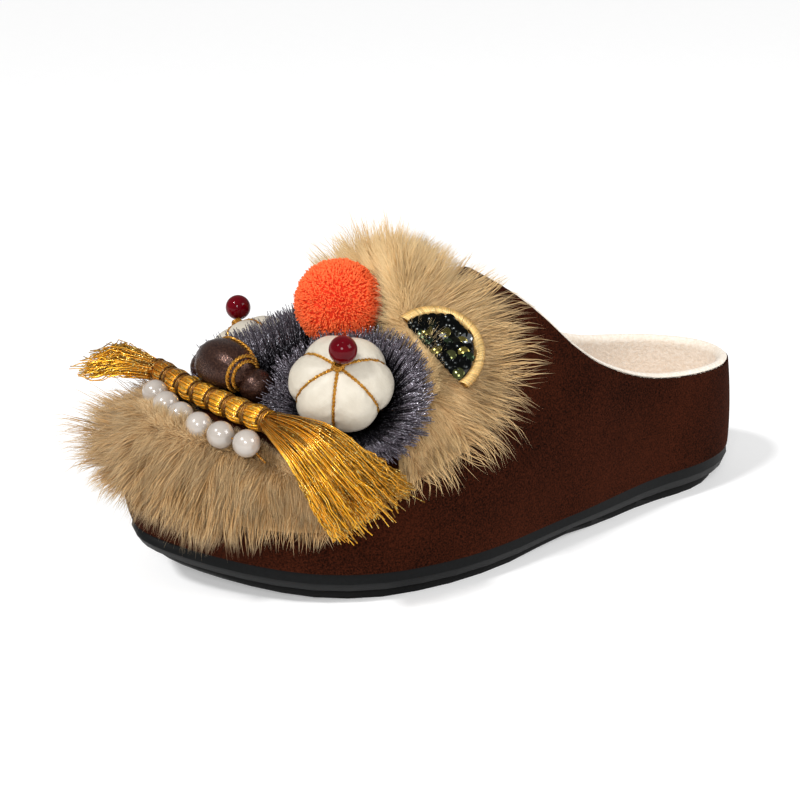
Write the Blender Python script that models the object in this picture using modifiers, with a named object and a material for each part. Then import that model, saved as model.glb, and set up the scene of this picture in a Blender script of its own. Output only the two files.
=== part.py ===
"""Tiger head mule: a backless slipper for the left foot with a stuffed and fringed animal face.

Frame: metres, +Z up, toe towards -Y, the little-toe (lateral) side towards +X. The origin is on the floor,
at the middle of the heel's flat spot. A station runs from 0 at the heel tip to 1 at the toe tip.
"""

import math
from collections import namedtuple

import bmesh
import bpy
from mathutils import Matrix, Vector
from mathutils.bvhtree import BVHTree

MM = 0.001

# Driving sizes
LENGTH = 258 * MM
HEEL_BEHIND_ORIGIN = 34 * MM
GAP = 0.3 * MM
WELD = 0.01 * MM
WALL = 2.4 * MM

# Sole outline: half widths each side of the centre line, before the ends are rounded off
Width = namedtuple("Width", "station lateral medial")
WIDTHS = [
    Width(0.00, 31, 33),
    Width(0.15, 30, 32.5),
    Width(0.40, 44, 34),
    Width(0.62, 55, 45),
    Width(0.80, 51.5, 44),
    Width(1.00, 36, 38),
]
HEEL_ROUND = 0.18
ToeRound = namedtuple("ToeRound", "length power")
TOE_ROUND = {1: ToeRound(0.33, 1.85), -1: ToeRound(0.28, 2.6)}

# Ridge of the upper: height over the floor and how full the arch of each section is
Ridge = namedtuple("Ridge", "station height fullness")
RIDGE = [
    Ridge(0.00, 130, 1.60),
    Ridge(0.14, 130, 1.60),
    Ridge(0.30, 124, 1.65),
    Ridge(0.46, 107, 1.80),
    Ridge(0.60, 87.5, 1.80),
    Ridge(0.75, 69.5, 1.74),
    Ridge(0.88, 61, 2.10),
    Ridge(1.00, 57, 2.30),
]
RIDGE_AT_HEEL = 0.14
RIDGE_AT_TOE = 0.87
SIDE_BULGE = 1.5 * MM
TOE_BULGE = 4.0 * MM
TOE_BULGE_FROM = 0.75

# Collar seen from the side; its top row is the throat, on the ridge
Collar = namedtuple("Collar", "station height")
THROAT = 0.49
COLLAR = [
    Collar(-0.05, 51.0),
    Collar(0.05, 51.3),
    Collar(0.10, 52.0),
    Collar(0.16, 53.0),
    Collar(0.20, 54.2),
    Collar(0.25, 57.6),
    Collar(0.33, 67.0),
    Collar(0.385, 77.5),
    Collar(0.42, 87.0),
    Collar(0.45, 94.5),
]

# Outsole: heights of its top, and the rings of its side from the tread up
SOLE_TOP = 12 * MM
SOLE_HEEL_RISE = 2.2 * MM
TOE_SPRING = 11 * MM
SPRING_FROM = 0.70
HEEL_LIFT = 3 * MM
HEEL_LIFT_TO = 0.10
ARCH_LIFT = 2 * MM
ARCH_FROM, ARCH_TO = 0.29, 0.50
SoleRing = namedtuple("SoleRing", "level inset toe_inset")
SOLE_RINGS = [
    SoleRing(0.00, 5.5, 8.0),
    SoleRing(0.30, 4.0, 5.0),
    SoleRing(0.34, 5.6, 6.5),
    SoleRing(0.40, 5.6, 6.5),
    SoleRing(0.44, 1.2, 1.8),
    SoleRing(0.70, 0.0, 0.0),
    SoleRing(1.00, 0.7, 0.7),
]

# Grooves across the tread that leave its lugs
GROOVE_WIDTH = 2.6 * MM
GROOVE_DEPTH = 2.4 * MM
GROOVE_INSET = 10 * MM
Grooves = namedtuple("Grooves", "first last count")
TREAD_GROOVES = [Grooves(0.065, 0.225, 5), Grooves(0.53, 0.86, 10)]

# Insole: a pad inside the wall, dished a little
INSOLE_CLEAR = 1.2 * MM
INSOLE_THICK = 5 * MM
INSOLE_DISH = 1 * MM
INSOLE_LIP = 9 * MM
INSOLE_SIDE = 0.8
INSOLE_EDGE = 0.2

# The face: rows across the ridge, each turned so that its lateral end lies nearer the heel
FACE_TURN = math.radians(16.5)
Row = namedtuple("Row", "station across lift")
EYES = {1: Row(0.745, 20.0 * MM, 4.0 * MM), -1: Row(0.742, -25.0 * MM, 4.6 * MM)}
EARS = {1: Row(0.628, 25.0 * MM, 11.0 * MM), -1: Row(0.648, -28.0 * MM, 11.0 * MM)}
NOSE = Row(0.842, -7.5 * MM, 5.9 * MM)
POMPOM = Row(0.656, -3.2 * MM, 0.4 * MM)

# Stuffed eye puffs, their grooves and the cord in them, and the glass beads on top
PUFF_RADIUS = 18.3 * MM
PUFF_HALF_HEIGHT = 13.8 * MM
PUFF_BASE = 9.5 * MM
PUFF_LOBES = 6
PUFF_GROOVE = 0.13
PUFF_DIMPLE = 0.10
PUFF_AXIS = {1: Vector((0.58, -0.34, 0.745)), -1: Vector((-0.58, -0.2, 0.79))}
PUFF_CORD = 0.7 * MM
PUFF_CORD_DOWN_TO = math.radians(118)
BEAD_RADIUS = 4.9 * MM
BEAD_BACK = 3.5 * MM

# Thread fringe round each puff: it leans out where it is free, stands steep beside pompom and ear, and is
# tucked in under nose and tassel
Fringe = namedtuple("Fringe", "lean root length")
FRINGE_FREE = Fringe(math.radians(30), 16.5 * MM, 16.5 * MM)
FRINGE_STEEP = Fringe(math.radians(62), 19.6 * MM, 13.0 * MM)
FRINGE_TUCKED = Fringe(math.radians(10), 13.5 * MM, 3.0 * MM)
FRINGE_NOTCH = 0.80
FRINGE_STRIPS = 22
FRINGE_LIFT = 0.6 * MM
FRINGE_THICK = 1.4 * MM
FRINGE_TIP_THICK = 0.9 * MM
STEEP_SPREAD = 2
TUCKED_SPREAD = 3

# Stuffed nose: a main lobe between two nostrils, with a cord over its back
NOSE_HALF = Vector((13.5, 9.0, 10.5)) * MM
NOSE_BASE = 7.0 * MM
NOSTRILS = (Vector((14.5, 2.5, -3.5)) * MM, Vector((-11.5, 0.0, -2.5)) * MM)
NOSTRIL_RADIUS = 6.2 * MM
NOSE_CORD = 0.8 * MM
NOSE_CORD_BACK = 0.45
NOSE_CORD_ENDS = math.radians(12)

POMPOM_RADIUS = 16.0 * MM
POMPOM_TUFT = 0.07
TUFTS_ROUND = 8
TUFTS_DOWN = 10

# Ears: half-moons with a rolled rim on their round side
EAR_RADIUS = 14.0 * MM
EAR_THICK = 2.0 * MM
EAR_RIM = 1.7 * MM
EAR_STEPS = 13
EAR_TURN = math.radians(20)

# Mouth: a bound bundle of thread over the toe with a row of pearls in front of it
Arc = namedtuple("Arc", "x station half bow height drop turn")
BUNDLE = Arc(-4.0 * MM, 0.8845, 30.5 * MM, 2.0 * MM, 66.0 * MM, 1.5 * MM, math.radians(19))
BUNDLE_RADIUS = 4.5 * MM
BUNDLE_NECK = 0.74
BUNDLE_BULGES = 7
PEARLS = Arc(5.5 * MM, 0.923, 26.8 * MM, 4.4 * MM, 62.0 * MM, 1.8 * MM, math.radians(17))
PEARL_COUNT = 6
PEARL_RADIUS = 4.8 * MM

# Tassels: middle line from the knot to the tips, with the width and thickness of the fan along it
Fan = namedtuple("Fan", "station x y z width thick")
TASSELS = {
    "tassel_lateral": (
        Vector((-0.05, 0.88, 0.42)),
        [
            Fan(0.0, 29.5, -180.5, 65.5, 8, 7),
            Fan(0.3, 42.5, -175.5, 60.5, 15, 8),
            Fan(0.6, 52.5, -169.5, 51.5, 22, 8),
            Fan(0.85, 57.5, -163.0, 43.5, 27, 7),
            Fan(1.0, 59.5, -159.0, 38.5, 30, 4),
        ],
    ),
    "tassel_medial": (
        Vector((-0.62, 0.75, 0.22)),
        [
            Fan(0.0, -36.0, -205.5, 68.0, 8, 7),
            Fan(0.3, -40.0, -209.5, 69.0, 12, 8),
            Fan(0.6, -44.0, -213.5, 69.5, 16, 8),
            Fan(0.85, -47.0, -217.0, 69.0, 19, 7),
            Fan(1.0, -49.0, -219.5, 68.0, 20, 4),
        ],
    ),
}
TASSEL_STRIPS = 9
TASSEL_RAGGED = 5 * MM
TASSEL_RIDGES = 0.8 * MM
TASSEL_EDGE_THINNING = 0.8

# Fur: a band of locks between an inner and an outer edge on the upper, each edge by its place and rise. The
# brow's sections run from -1, its lateral end, over 0 on the ridge to 1, the chin's from 0 to 1 round the toe
FurEdge = namedtuple("FurEdge", "station inner_at inner_rise outer_at outer_rise thick hem tip")
BROW = [
    FurEdge(-1.0, 0.695, 0.46, 0.695, 0.32, 5, 5, 9),
    FurEdge(-0.7, 0.645, 0.60, 0.580, 0.36, 6, 6, 10),
    FurEdge(-0.36, 0.650, 0.77, 0.505, 0.61, 9, 7, 9),
    FurEdge(-0.27, 0.655, 0.83, 0.525, 0.74, 16, 8, 8),
    FurEdge(-0.15, 0.658, 0.91, 0.545, 0.86, 40, 11, 7),
    FurEdge(0.0, 0.655, 1.00, 0.560, 1.00, 42, 12, 6),
    FurEdge(0.15, 0.650, 0.91, 0.545, 0.86, 42, 14, 8),
    FurEdge(0.30, 0.632, 0.81, 0.530, 0.72, 42, 18, 10),
    FurEdge(0.42, 0.628, 0.72, 0.525, 0.58, 38, 17, 12),
    FurEdge(0.55, 0.628, 0.66, 0.550, 0.47, 30, 15, 12),
    FurEdge(0.7, 0.635, 0.60, 0.580, 0.36, 18, 12, 12),
    FurEdge(1.0, 0.695, 0.46, 0.695, 0.32, 5, 5, 9),
]
CHIN = [
    FurEdge(0.0, 0.345, 0.40, 0.345, 0.22, 5, 5, 8),
    FurEdge(0.25, 0.41, 0.66, 0.41, 0.24, 8, 9, 13),
    FurEdge(0.5, 0.49, 0.74, 0.49, 0.36, 12, 16, 20),
    FurEdge(0.70, 0.55, 0.675, 0.55, 0.45, 12, 20, 24),
    FurEdge(0.88, 0.60, 0.60, 0.60, 0.46, 15, 21, 25),
    FurEdge(1.0, 0.632, 0.42, 0.632, 0.32, 8, 9, 13),
]
Tier = namedtuple("Tier", "reach lock_reach body crest")
BROW_TIERS = [
    Tier(0.00, 0.00, 0.20, 0.20),
    Tier(0.12, 0.20, 0.85, 1.00),
    Tier(0.24, 0.30, 0.68, 0.76),
    Tier(0.50, 0.64, 0.88, 1.05),
    Tier(0.58, 0.68, 0.68, 0.78),
]
CHIN_TIERS = [
    Tier(0.00, 0.00, 0.12, 0.12),
    Tier(0.34, 0.42, 0.80, 0.95),
    Tier(0.42, 0.46, 0.64, 0.72),
    Tier(0.66, 0.80, 0.90, 1.05),
    Tier(0.72, 0.84, 0.70, 0.80),
]
HEM_REACH = 1.0
HEM_BODY = 0.7
LOCK_REACH = 1.32
BACKING_REACH = 0.97
BROW_LOCKS = 20
CHIN_LOCKS = 20

# Mesh fineness
HEEL_COLUMNS = 13
TOE_COLUMNS = 13
WALL_ROWS = 10
SOLE_COLUMNS = 28

Finish = namedtuple("Finish", "name colour roughness metallic")
SUEDE = Finish("brown_suede", (0.075, 0.022, 0.012), 0.95, 0.0)
RUBBER = Finish("charcoal_rubber", (0.018, 0.019, 0.020), 0.55, 0.0)
PAD = Finish("peach_pad", (0.75, 0.52, 0.38), 0.9, 0.0)
FUR = Finish("tan_fur", (0.42, 0.27, 0.13), 0.95, 0.0)
GOLD = Finish("gold_thread", (0.62, 0.33, 0.05), 0.4, 0.6)
PEARL = Finish("white_pearl", (0.85, 0.83, 0.79), 0.2, 0.0)
BROWN_SATIN = Finish("brown_satin", (0.10, 0.035, 0.02), 0.35, 0.0)
WHITE_SATIN = Finish("white_satin", (0.85, 0.83, 0.79), 0.4, 0.0)
RED_GLASS = Finish("red_glass", (0.16, 0.003, 0.01), 0.08, 0.0)
GREY_THREAD = Finish("grey_thread", (0.10, 0.085, 0.11), 0.6, 0.0)
ORANGE_YARN = Finish("orange_yarn", (0.9, 0.12, 0.03), 0.9, 0.0)
SEQUIN = Finish("dark_sequin", (0.012, 0.014, 0.012), 0.25, 0.0)


def eased(rows, column, station):
    """Value of one table column at a station, on a smooth curve with no overshoot."""
    last = len(rows) - 2
    k = min(max(sum(row.station <= station for row in rows) - 1, 0), last)
    slopes = [
        (getattr(b, column) - getattr(a, column)) / (b.station - a.station) for a, b in zip(rows, rows[1:])
    ]

    def tangent(n):
        if n == 0 or n == len(slopes):
            return slopes[min(n, last)]
        before, after = slopes[n - 1], slopes[n]
        return 2 * before * after / (before + after) if before * after > 0 else 0.0

    a, b = rows[k], rows[k + 1]
    width = b.station - a.station
    s = (min(max(station, rows[0].station), rows[-1].station) - a.station) / width
    start, end = getattr(a, column), getattr(b, column)
    curve = (2 * s**3 - 3 * s**2 + 1) * start + (3 * s**2 - 2 * s**3) * end
    return curve + width * ((s**3 - 2 * s**2 + s) * tangent(k) + (s**3 - s**2) * tangent(k + 1))


def clamp(value, low=0.0, high=1.0):
    return min(max(value, low), high)


def y_of(station):
    return HEEL_BEHIND_ORIGIN - station * LENGTH


def station_of(y):
    return (HEEL_BEHIND_ORIGIN - y) / LENGTH


def station_at(around):
    """Station of a point that runs round the outline from the heel tip, lateral side first."""
    return 0.5 - 0.5 * math.cos(2 * math.pi * around)


def around_at(station, side=1):
    """The reverse of station_at, on the lateral (1) or the medial (-1) side."""
    around = math.acos(1 - 2 * clamp(station)) / (2 * math.pi)
    return around if side > 0 else 1 - around


def half_width(station, side):
    """Half width of the sole on the lateral (1) or the medial (-1) side, with heel and toe rounded off."""
    toe = TOE_ROUND[side]
    into_heel = clamp((HEEL_ROUND - station) / HEEL_ROUND)
    into_toe = clamp((station - 1 + toe.length) / toe.length)
    rounded = math.sqrt(1 - into_heel**2) * (1 - into_toe**toe.power) ** (1 / toe.power)
    return eased(WIDTHS, "lateral" if side > 0 else "medial", station) * MM * rounded


def outline(around):
    """Point of the sole's outline, in plan."""
    station = station_at(around)
    side = 1 if math.sin(2 * math.pi * around) >= 0 else -1
    return Vector((side * half_width(station, side), y_of(station), 0))


def outward(around):
    """Unit normal of the outline, in plan."""
    step = 1e-4
    along = outline(around + step) - outline(around - step)
    return Vector((-along.y, along.x, 0)).normalized()


def sole_top(station):
    spring = TOE_SPRING * clamp((station - SPRING_FROM) / (1 - SPRING_FROM)) ** 2
    return SOLE_TOP + spring + SOLE_HEEL_RISE * clamp(1 - 2 * station)


def sole_bottom(station):
    spring = TOE_SPRING * clamp((station - SPRING_FROM) / (1 - SPRING_FROM)) ** 2
    arch = math.sin(math.pi * clamp((station - ARCH_FROM) / (ARCH_TO - ARCH_FROM))) ** 2
    return spring + ARCH_LIFT * arch + HEEL_LIFT * clamp(1 - station / HEEL_LIFT_TO) ** 2


def ridge(station):
    """Point of the upper's ridge, over the middle of the sole."""
    middle = (half_width(station, 1) - half_width(station, -1)) / 2
    return Vector((middle, y_of(station), eased(RIDGE, "height", station) * MM))


def ridge_station(station):
    """Where on the ridge the wall that starts at this station of the outline ends."""
    return RIDGE_AT_HEEL + (RIDGE_AT_TOE - RIDGE_AT_HEEL) * station


def skin(around, rise, proud=0.0):
    """Point on the upper's outside: rise runs from 0 at the sole to 1 on the ridge, proud stands off it."""
    station = station_at(around)
    foot = outline(around)
    top = ridge(ridge_station(station))
    past = ridge(ridge_station(station) + 0.01)
    slope = (past.z - top.z) / (past.y - top.y)
    fullness = eased(RIDGE, "fullness", ridge_station(station))
    angle = rise * math.pi / 2
    inward = max(math.cos(angle), 0.0) ** (2 / fullness)
    upward = math.sin(angle) ** (2 / fullness)
    bulge = SIDE_BULGE + TOE_BULGE * clamp((station - TOE_BULGE_FROM) / (1 - TOE_BULGE_FROM))
    out = outward(around) * (bulge * math.sin(2 * angle) + proud * math.cos(angle))
    floor = sole_top(station) + GAP
    plan = top.lerp(foot, inward) + out
    crown = top.z + slope * (plan.y - top.y)
    height = floor + (crown - floor) * upward + proud * math.sin(angle)
    return Vector((plan.x, plan.y, height))


def collar_height(station):
    throat = ridge(THROAT).z / MM
    rows = COLLAR + [Collar(THROAT, throat)]
    return eased(rows, "height", station) * MM


def highest_rise(around):
    """How far up this stretch of wall goes before the collar cuts it."""
    if ridge_station(station_at(around)) >= THROAT - 1e-6:
        return 1.0
    low, high = 0.0, 1.0
    for _ in range(30):
        middle = (low + high) / 2
        point = skin(around, middle)
        if point.z < collar_height(station_of(point.y)):
            low = middle
        else:
            high = middle
    return low


def made(name, bm, finish):
    """Turns a bmesh into a named, smooth shaded object with its material."""
    mesh = bpy.data.meshes.new(name)
    bm.to_mesh(mesh)
    bm.free()
    mesh.shade_smooth()
    mesh.set_sharp_from_angle(angle=math.radians(40))
    mesh.materials.append(material(finish))
    obj = bpy.data.objects.new(name, mesh)
    parts.objects.link(obj)
    return obj


def material(finish):
    known = bpy.data.materials.get(finish.name)
    if known:
        return known
    new = bpy.data.materials.new(finish.name)
    new.use_nodes = True
    shader = new.node_tree.nodes["Principled BSDF"]
    shader.inputs["Base Color"].default_value = (*finish.colour, 1)
    shader.inputs["Roughness"].default_value = finish.roughness
    shader.inputs["Metallic"].default_value = finish.metallic
    return new


def loft(name, rings, finish, closed=False):
    """A solid through rings of equal even length. Rungs across the first and last ring close its ends."""
    bm = bmesh.new()
    rows = [[bm.verts.new(point) for point in ring] for ring in rings]
    size = len(rows[0])
    following = rows[1:] + rows[:1] if closed else rows[1:]
    for low, high in zip(rows, following):
        for k in range(size):
            bm.faces.new((low[k - 1], low[k], high[k], high[k - 1]))
    if not closed:
        for row in (rows[0], rows[-1]):
            for k in range(size // 2 - 1):
                bm.faces.new((row[k], row[k + 1], row[-k - 2], row[-k - 1]))
    bmesh.ops.remove_doubles(bm, verts=bm.verts, dist=WELD)
    bmesh.ops.recalc_face_normals(bm, faces=bm.faces)
    return made(name, bm, finish)


def sole_ring(inset_of, height_of):
    """A ring round the outline, lateral side out and medial side back, with inset and height by station."""
    ring = []
    for side in (1, -1):
        half = []
        for k in range(SOLE_COLUMNS + 1):
            around = around_at(0.5 - 0.5 * math.cos(math.pi * k / SOLE_COLUMNS), side)
            station = station_at(around)
            point = outline(around) - outward(around) * inset_of(station)
            half.append(Vector((point.x, point.y, height_of(station))))
        ring += half if side > 0 else half[::-1]
    return ring


def make_outsole():
    rings = []
    for row in SOLE_RINGS:

        def inset(station):
            toe = clamp((station - SPRING_FROM) / (1 - SPRING_FROM)) ** 2
            return (row.inset + (row.toe_inset - row.inset) * toe) * MM

        def height(station):
            return sole_bottom(station) + row.level * (sole_top(station) - sole_bottom(station))

        rings.append(sole_ring(inset, height))
    sole = loft("outsole", rings, RUBBER)
    cutter = bmesh.new()
    for run in TREAD_GROOVES:
        for k in range(run.count):
            station = run.first + (run.last - run.first) * k / (run.count - 1)
            box = bmesh.ops.create_cube(cutter, size=1)["verts"]
            right, left = (half_width(station, side) - GROOVE_INSET for side in (1, -1))
            size = Vector((right + left, GROOVE_WIDTH, 2 * GROOVE_DEPTH))
            bmesh.ops.scale(cutter, vec=size, verts=box)
            middle = ((right - left) / 2, y_of(station), sole_bottom(station))
            bmesh.ops.translate(cutter, vec=middle, verts=box)
    cut(sole, made("tread_grooves", cutter, RUBBER))


def cut(obj, cutter):
    """Takes a closed helper out of an object."""
    parts.objects.unlink(cutter)
    cutters.objects.link(cutter)
    cutter.hide_render = True
    cutter.display_type = "WIRE"
    boolean = obj.modifiers.new("cut", "BOOLEAN")
    boolean.operation = "DIFFERENCE"
    boolean.object = cutter


def make_insole():
    def inset(extra):
        return lambda station: WALL + INSOLE_CLEAR + extra

    def height(lift):
        return lambda station: sole_top(station) + GAP + lift

    rings = [
        sole_ring(inset(0.0), height(0.0)),
        sole_ring(inset(0.0), height(INSOLE_SIDE * INSOLE_THICK)),
        sole_ring(inset(INSOLE_EDGE * INSOLE_LIP), height(INSOLE_THICK)),
        sole_ring(inset(INSOLE_LIP), height(INSOLE_THICK - INSOLE_DISH)),
    ]
    loft("insole", rings, PAD)


def wall_stations():
    """Stations of the wall's columns: closer at both tips, and one at the throat."""
    throat = (THROAT - RIDGE_AT_HEEL) / (RIDGE_AT_TOE - RIDGE_AT_HEEL)
    heel = [throat * (0.5 - 0.5 * math.cos(math.pi * k / HEEL_COLUMNS)) for k in range(HEEL_COLUMNS)]
    toe = [throat + (1 - throat) * math.sin(math.pi / 2 * k / TOE_COLUMNS) for k in range(TOE_COLUMNS + 1)]
    return heel + toe


def make_upper():
    """A grid laid over the last and given its wall: columns round the outline, rows from sole to collar."""
    stations = wall_stations()
    arounds = [around_at(s) for s in stations] + [around_at(s, -1) for s in stations[-2::-1]]
    columns = len(arounds) - 1
    bm = bmesh.new()
    bmesh.ops.create_grid(bm, x_segments=columns, y_segments=WALL_ROWS, size=1)
    for vert in bm.verts:
        around = arounds[round((vert.co.x + 1) / 2 * columns)]
        row = round((vert.co.y + 1) / 2 * WALL_ROWS) / WALL_ROWS
        vert.co = skin(around, highest_rise(around) * row)
    bmesh.ops.remove_doubles(bm, verts=bm.verts, dist=WELD)
    bmesh.ops.recalc_face_normals(bm, faces=bm.faces)
    surface = BVHTree.FromBMesh(bm)
    upper = made("upper", bm, SUEDE)
    shell = upper.modifiers.new("wall", "SOLIDIFY")
    shell.thickness = WALL
    shell.offset = -1
    shell.use_even_offset = True
    return surface


def row_axes(turn=FACE_TURN):
    """Unit vectors across a row, towards the lateral side, and ahead of it."""
    return Vector((math.cos(turn), math.sin(turn), 0)), Vector((math.sin(turn), -math.cos(turn), 0))


def dropped(point, axis=Vector((0, 0, 1))):
    """Point of the upper met on the way down an axis through a point, and the upper's normal there."""
    met, normal, _, _ = surface.ray_cast(point + axis * LENGTH, -axis)
    return met, normal


def seat(row):
    """Point of the upper under a place in a row of the face, and the upper's normal there."""
    across, _ = row_axes()
    return dropped(ridge(row.station) + across * row.across)


def placed(centre, x_axis, z_axis):
    """Matrix of a frame with these axes, the second kept true."""
    z_axis = z_axis.normalized()
    y_axis = z_axis.cross(x_axis).normalized()
    turn = Matrix((y_axis.cross(z_axis), y_axis, z_axis)).transposed()
    return Matrix.Translation(centre) @ turn.to_4x4()


def blob(name, finish, frame, segments, rings, reach):
    """A round form: a sphere whose points are pushed out to reach(direction), in its own frame."""
    bm = bmesh.new()
    bmesh.ops.create_uvsphere(bm, u_segments=segments, v_segments=rings, radius=1)
    for vert in bm.verts:
        direction = vert.co.normalized()
        vert.co = direction * reach(direction)
    bmesh.ops.transform(bm, matrix=frame, verts=bm.verts)
    return made(name, bm, finish)


def ellipsoid_reach(direction, half):
    """How far an ellipsoid at the origin reaches along a direction."""
    return 1 / math.sqrt(sum((d / h) ** 2 for d, h in zip(direction, half)))


def tube(name, points, radii, finish, resolution):
    """A round cord through points."""
    curve = bpy.data.curves.new(name, "CURVE")
    curve.dimensions = "3D"
    curve.bevel_depth = 1
    curve.bevel_resolution = resolution
    curve.use_fill_caps = True
    spline = curve.splines.new("POLY")
    spline.points.add(len(points) - 1)
    for slot, point, radius in zip(spline.points, points, radii):
        slot.co = (*point, 1)
        slot.radius = radius
    curve.materials.append(material(finish))
    obj = bpy.data.objects.new(name, curve)
    parts.objects.link(obj)
    return obj


def joined(name, curves):
    """Cords that cross, made meshes and joined into one."""
    meshes = []
    for obj in curves:
        graph = bpy.context.evaluated_depsgraph_get()
        mesh = bpy.data.meshes.new_from_object(obj.evaluated_get(graph))
        bm = bmesh.new()
        bm.from_mesh(mesh)
        bmesh.ops.remove_doubles(bm, verts=bm.verts, dist=WELD)
        bm.to_mesh(mesh)
        bm.free()
        meshes.append(bpy.data.objects.new(obj.name, mesh))
        bpy.data.objects.remove(obj)
    whole = meshes[0]
    whole.name = name
    parts.objects.link(whole)
    for other in meshes[1:]:
        cutters.objects.link(other)
        other.hide_render = True
        other.display_type = "WIRE"
        boolean = whole.modifiers.new("join", "BOOLEAN")
        boolean.operation = "UNION"
        boolean.object = other


def puff_reach(direction):
    """The pumpkin's radius: an ellipsoid with a groove between its lobes and a dimple on top."""
    level = math.hypot(direction.x, direction.y)
    turn = math.atan2(direction.y, direction.x)
    groove = 1 - math.sqrt(abs(math.sin(PUFF_LOBES / 2 * turn)))
    height = PUFF_HALF_HEIGHT if direction.z > 0 else PUFF_BASE
    round_form = ellipsoid_reach(direction, (PUFF_RADIUS, PUFF_RADIUS, height))
    return round_form * (1 - PUFF_GROOVE * groove * level) * (1 - PUFF_DIMPLE * abs(direction.z) ** 6)


def puff_frame(side):
    """Frame of an eye puff: X outwards, Z along its leaning axis."""
    across, _ = row_axes()
    axis = PUFF_AXIS[side].normalized()
    point, _ = seat(EYES[side])
    return placed(point + axis * (PUFF_BASE + EYES[side].lift), across * side, axis)


def make_puff(name, side):
    frame = puff_frame(side)
    blob(f"puff_{name}", WHITE_SATIN, frame, 24, 9, puff_reach)
    cords = []
    steps = 12
    for k in range(PUFF_LOBES // 2):
        turn = 2 * math.pi * k / PUFF_LOBES
        points = []
        for n in range(steps + 1):
            tilt = PUFF_CORD_DOWN_TO * (2 * n / steps - 1)
            level = math.sin(tilt)
            direction = Vector((level * math.cos(turn), level * math.sin(turn), math.cos(tilt)))
            points.append(frame @ (direction * (puff_reach(direction) + PUFF_CORD + GAP)))
        cords.append(tube(f"cord_{name}_{k}", points, [PUFF_CORD] * len(points), GOLD, 0))
    joined(f"puff_cord_{name}", cords)
    top = Vector((0, 0, 1))
    rest = puff_reach(top) + 2 * PUFF_CORD + 2 * GAP + BEAD_RADIUS
    bead = frame @ Matrix.Translation((0, side * BEAD_BACK, rest))
    blob(f"bead_{name}", RED_GLASS, bead, 10, 7, lambda direction: BEAD_RADIUS)


def facing(direction, middle, axis, others, spread):
    """How directly one of the other points lies that way, seen along the axis: 1 is straight ahead."""
    nearest = 0.0
    for other in others:
        away = other - middle
        away = (away - axis * away.dot(axis)).normalized()
        nearest = max(nearest, clamp(direction.dot(away)) ** spread)
    return nearest


def make_fringe(name, side):
    """A ring of strips rooted on the upper round the puff, long and short sections by turns."""
    frame = puff_frame(side)
    x_axis, y_axis, axis = (frame.col[k].xyz for k in range(3))
    middle, _ = seat(EYES[side])
    beside = [seat(EARS[side])[0]]
    fan = TASSELS[f"tassel_{name}"][1][:4]
    under = [seat(NOSE)[0], seat(POMPOM)[0]] + [Vector((row.x, row.y, row.z)) * MM for row in fan]
    rings = []
    for k in range(2 * FRINGE_STRIPS):
        turn = math.pi * k / FRINGE_STRIPS
        direction = x_axis * math.cos(turn) + y_axis * math.sin(turn)
        steep = facing(direction, middle, axis, beside, STEEP_SPREAD)
        tucked = facing(direction, middle, axis, under, TUCKED_SPREAD)
        form = Fringe(*(a + (b - a) * steep for a, b in zip(FRINGE_FREE, FRINGE_STEEP)))
        form = Fringe(*(a + (b - a) * tucked for a, b in zip(form, FRINGE_TUCKED)))
        length = form.length * (1 if k % 2 else FRINGE_NOTCH)
        along = direction * math.cos(form.lean) + axis * math.sin(form.lean)
        over = axis * math.cos(form.lean) - direction * math.sin(form.lean)
        root = dropped(middle + direction * form.root, axis)[0] + axis * FRINGE_LIFT
        half_way, end = root + along * 0.5 * length, root + along * length
        top = [root + over * FRINGE_THICK, half_way + over * FRINGE_THICK, end + over * FRINGE_TIP_THICK]
        rings.append(top + [end, half_way, root])
    loft(f"fringe_{name}", rings, GREY_THREAD, closed=True)


def nose_reach(direction):
    """The nose seen from its middle: the farthest of the main lobe and the two nostrils."""
    height = NOSE_HALF.z if direction.z > 0 else NOSE_BASE
    farthest = ellipsoid_reach(direction, (NOSE_HALF.x, NOSE_HALF.y, height))
    for centre in NOSTRILS:
        along = direction.dot(centre)
        inside = NOSTRIL_RADIUS**2 - centre.length_squared + along**2
        if inside > 0:
            farthest = max(farthest, along + math.sqrt(inside))
    return farthest


def make_nose():
    across, _ = row_axes()
    point, _ = seat(NOSE)
    centre = point + Vector((0, 0, NOSE_BASE + NOSE.lift))
    frame = placed(centre, across, Vector((0, 0, 1)))
    blob("nose", BROWN_SATIN, frame, 24, 11, nose_reach)
    points = []
    steps = 14
    for k in range(steps + 1):
        turn = NOSE_CORD_ENDS + (math.pi - 2 * NOSE_CORD_ENDS) * k / steps
        direction = Vector((math.cos(turn), NOSE_CORD_BACK, math.sin(turn))).normalized()
        points.append(frame @ (direction * (nose_reach(direction) + NOSE_CORD + 2 * GAP)))
    tube("nose_cord", points, [NOSE_CORD] * len(points), GOLD, 1)


def make_pompom():
    point, normal = seat(POMPOM)
    frame = Matrix.Translation(point + normal * (POMPOM_RADIUS * (1 + POMPOM_TUFT) + POMPOM.lift))

    def tufted(direction):
        turn = math.atan2(direction.y, direction.x)
        tilt = math.acos(clamp(direction.z, -1, 1))
        return POMPOM_RADIUS * (1 + POMPOM_TUFT * math.cos(TUFTS_ROUND * turn) * math.cos(TUFTS_DOWN * tilt))

    blob("pompom", ORANGE_YARN, frame, 16, 10, tufted)


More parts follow.
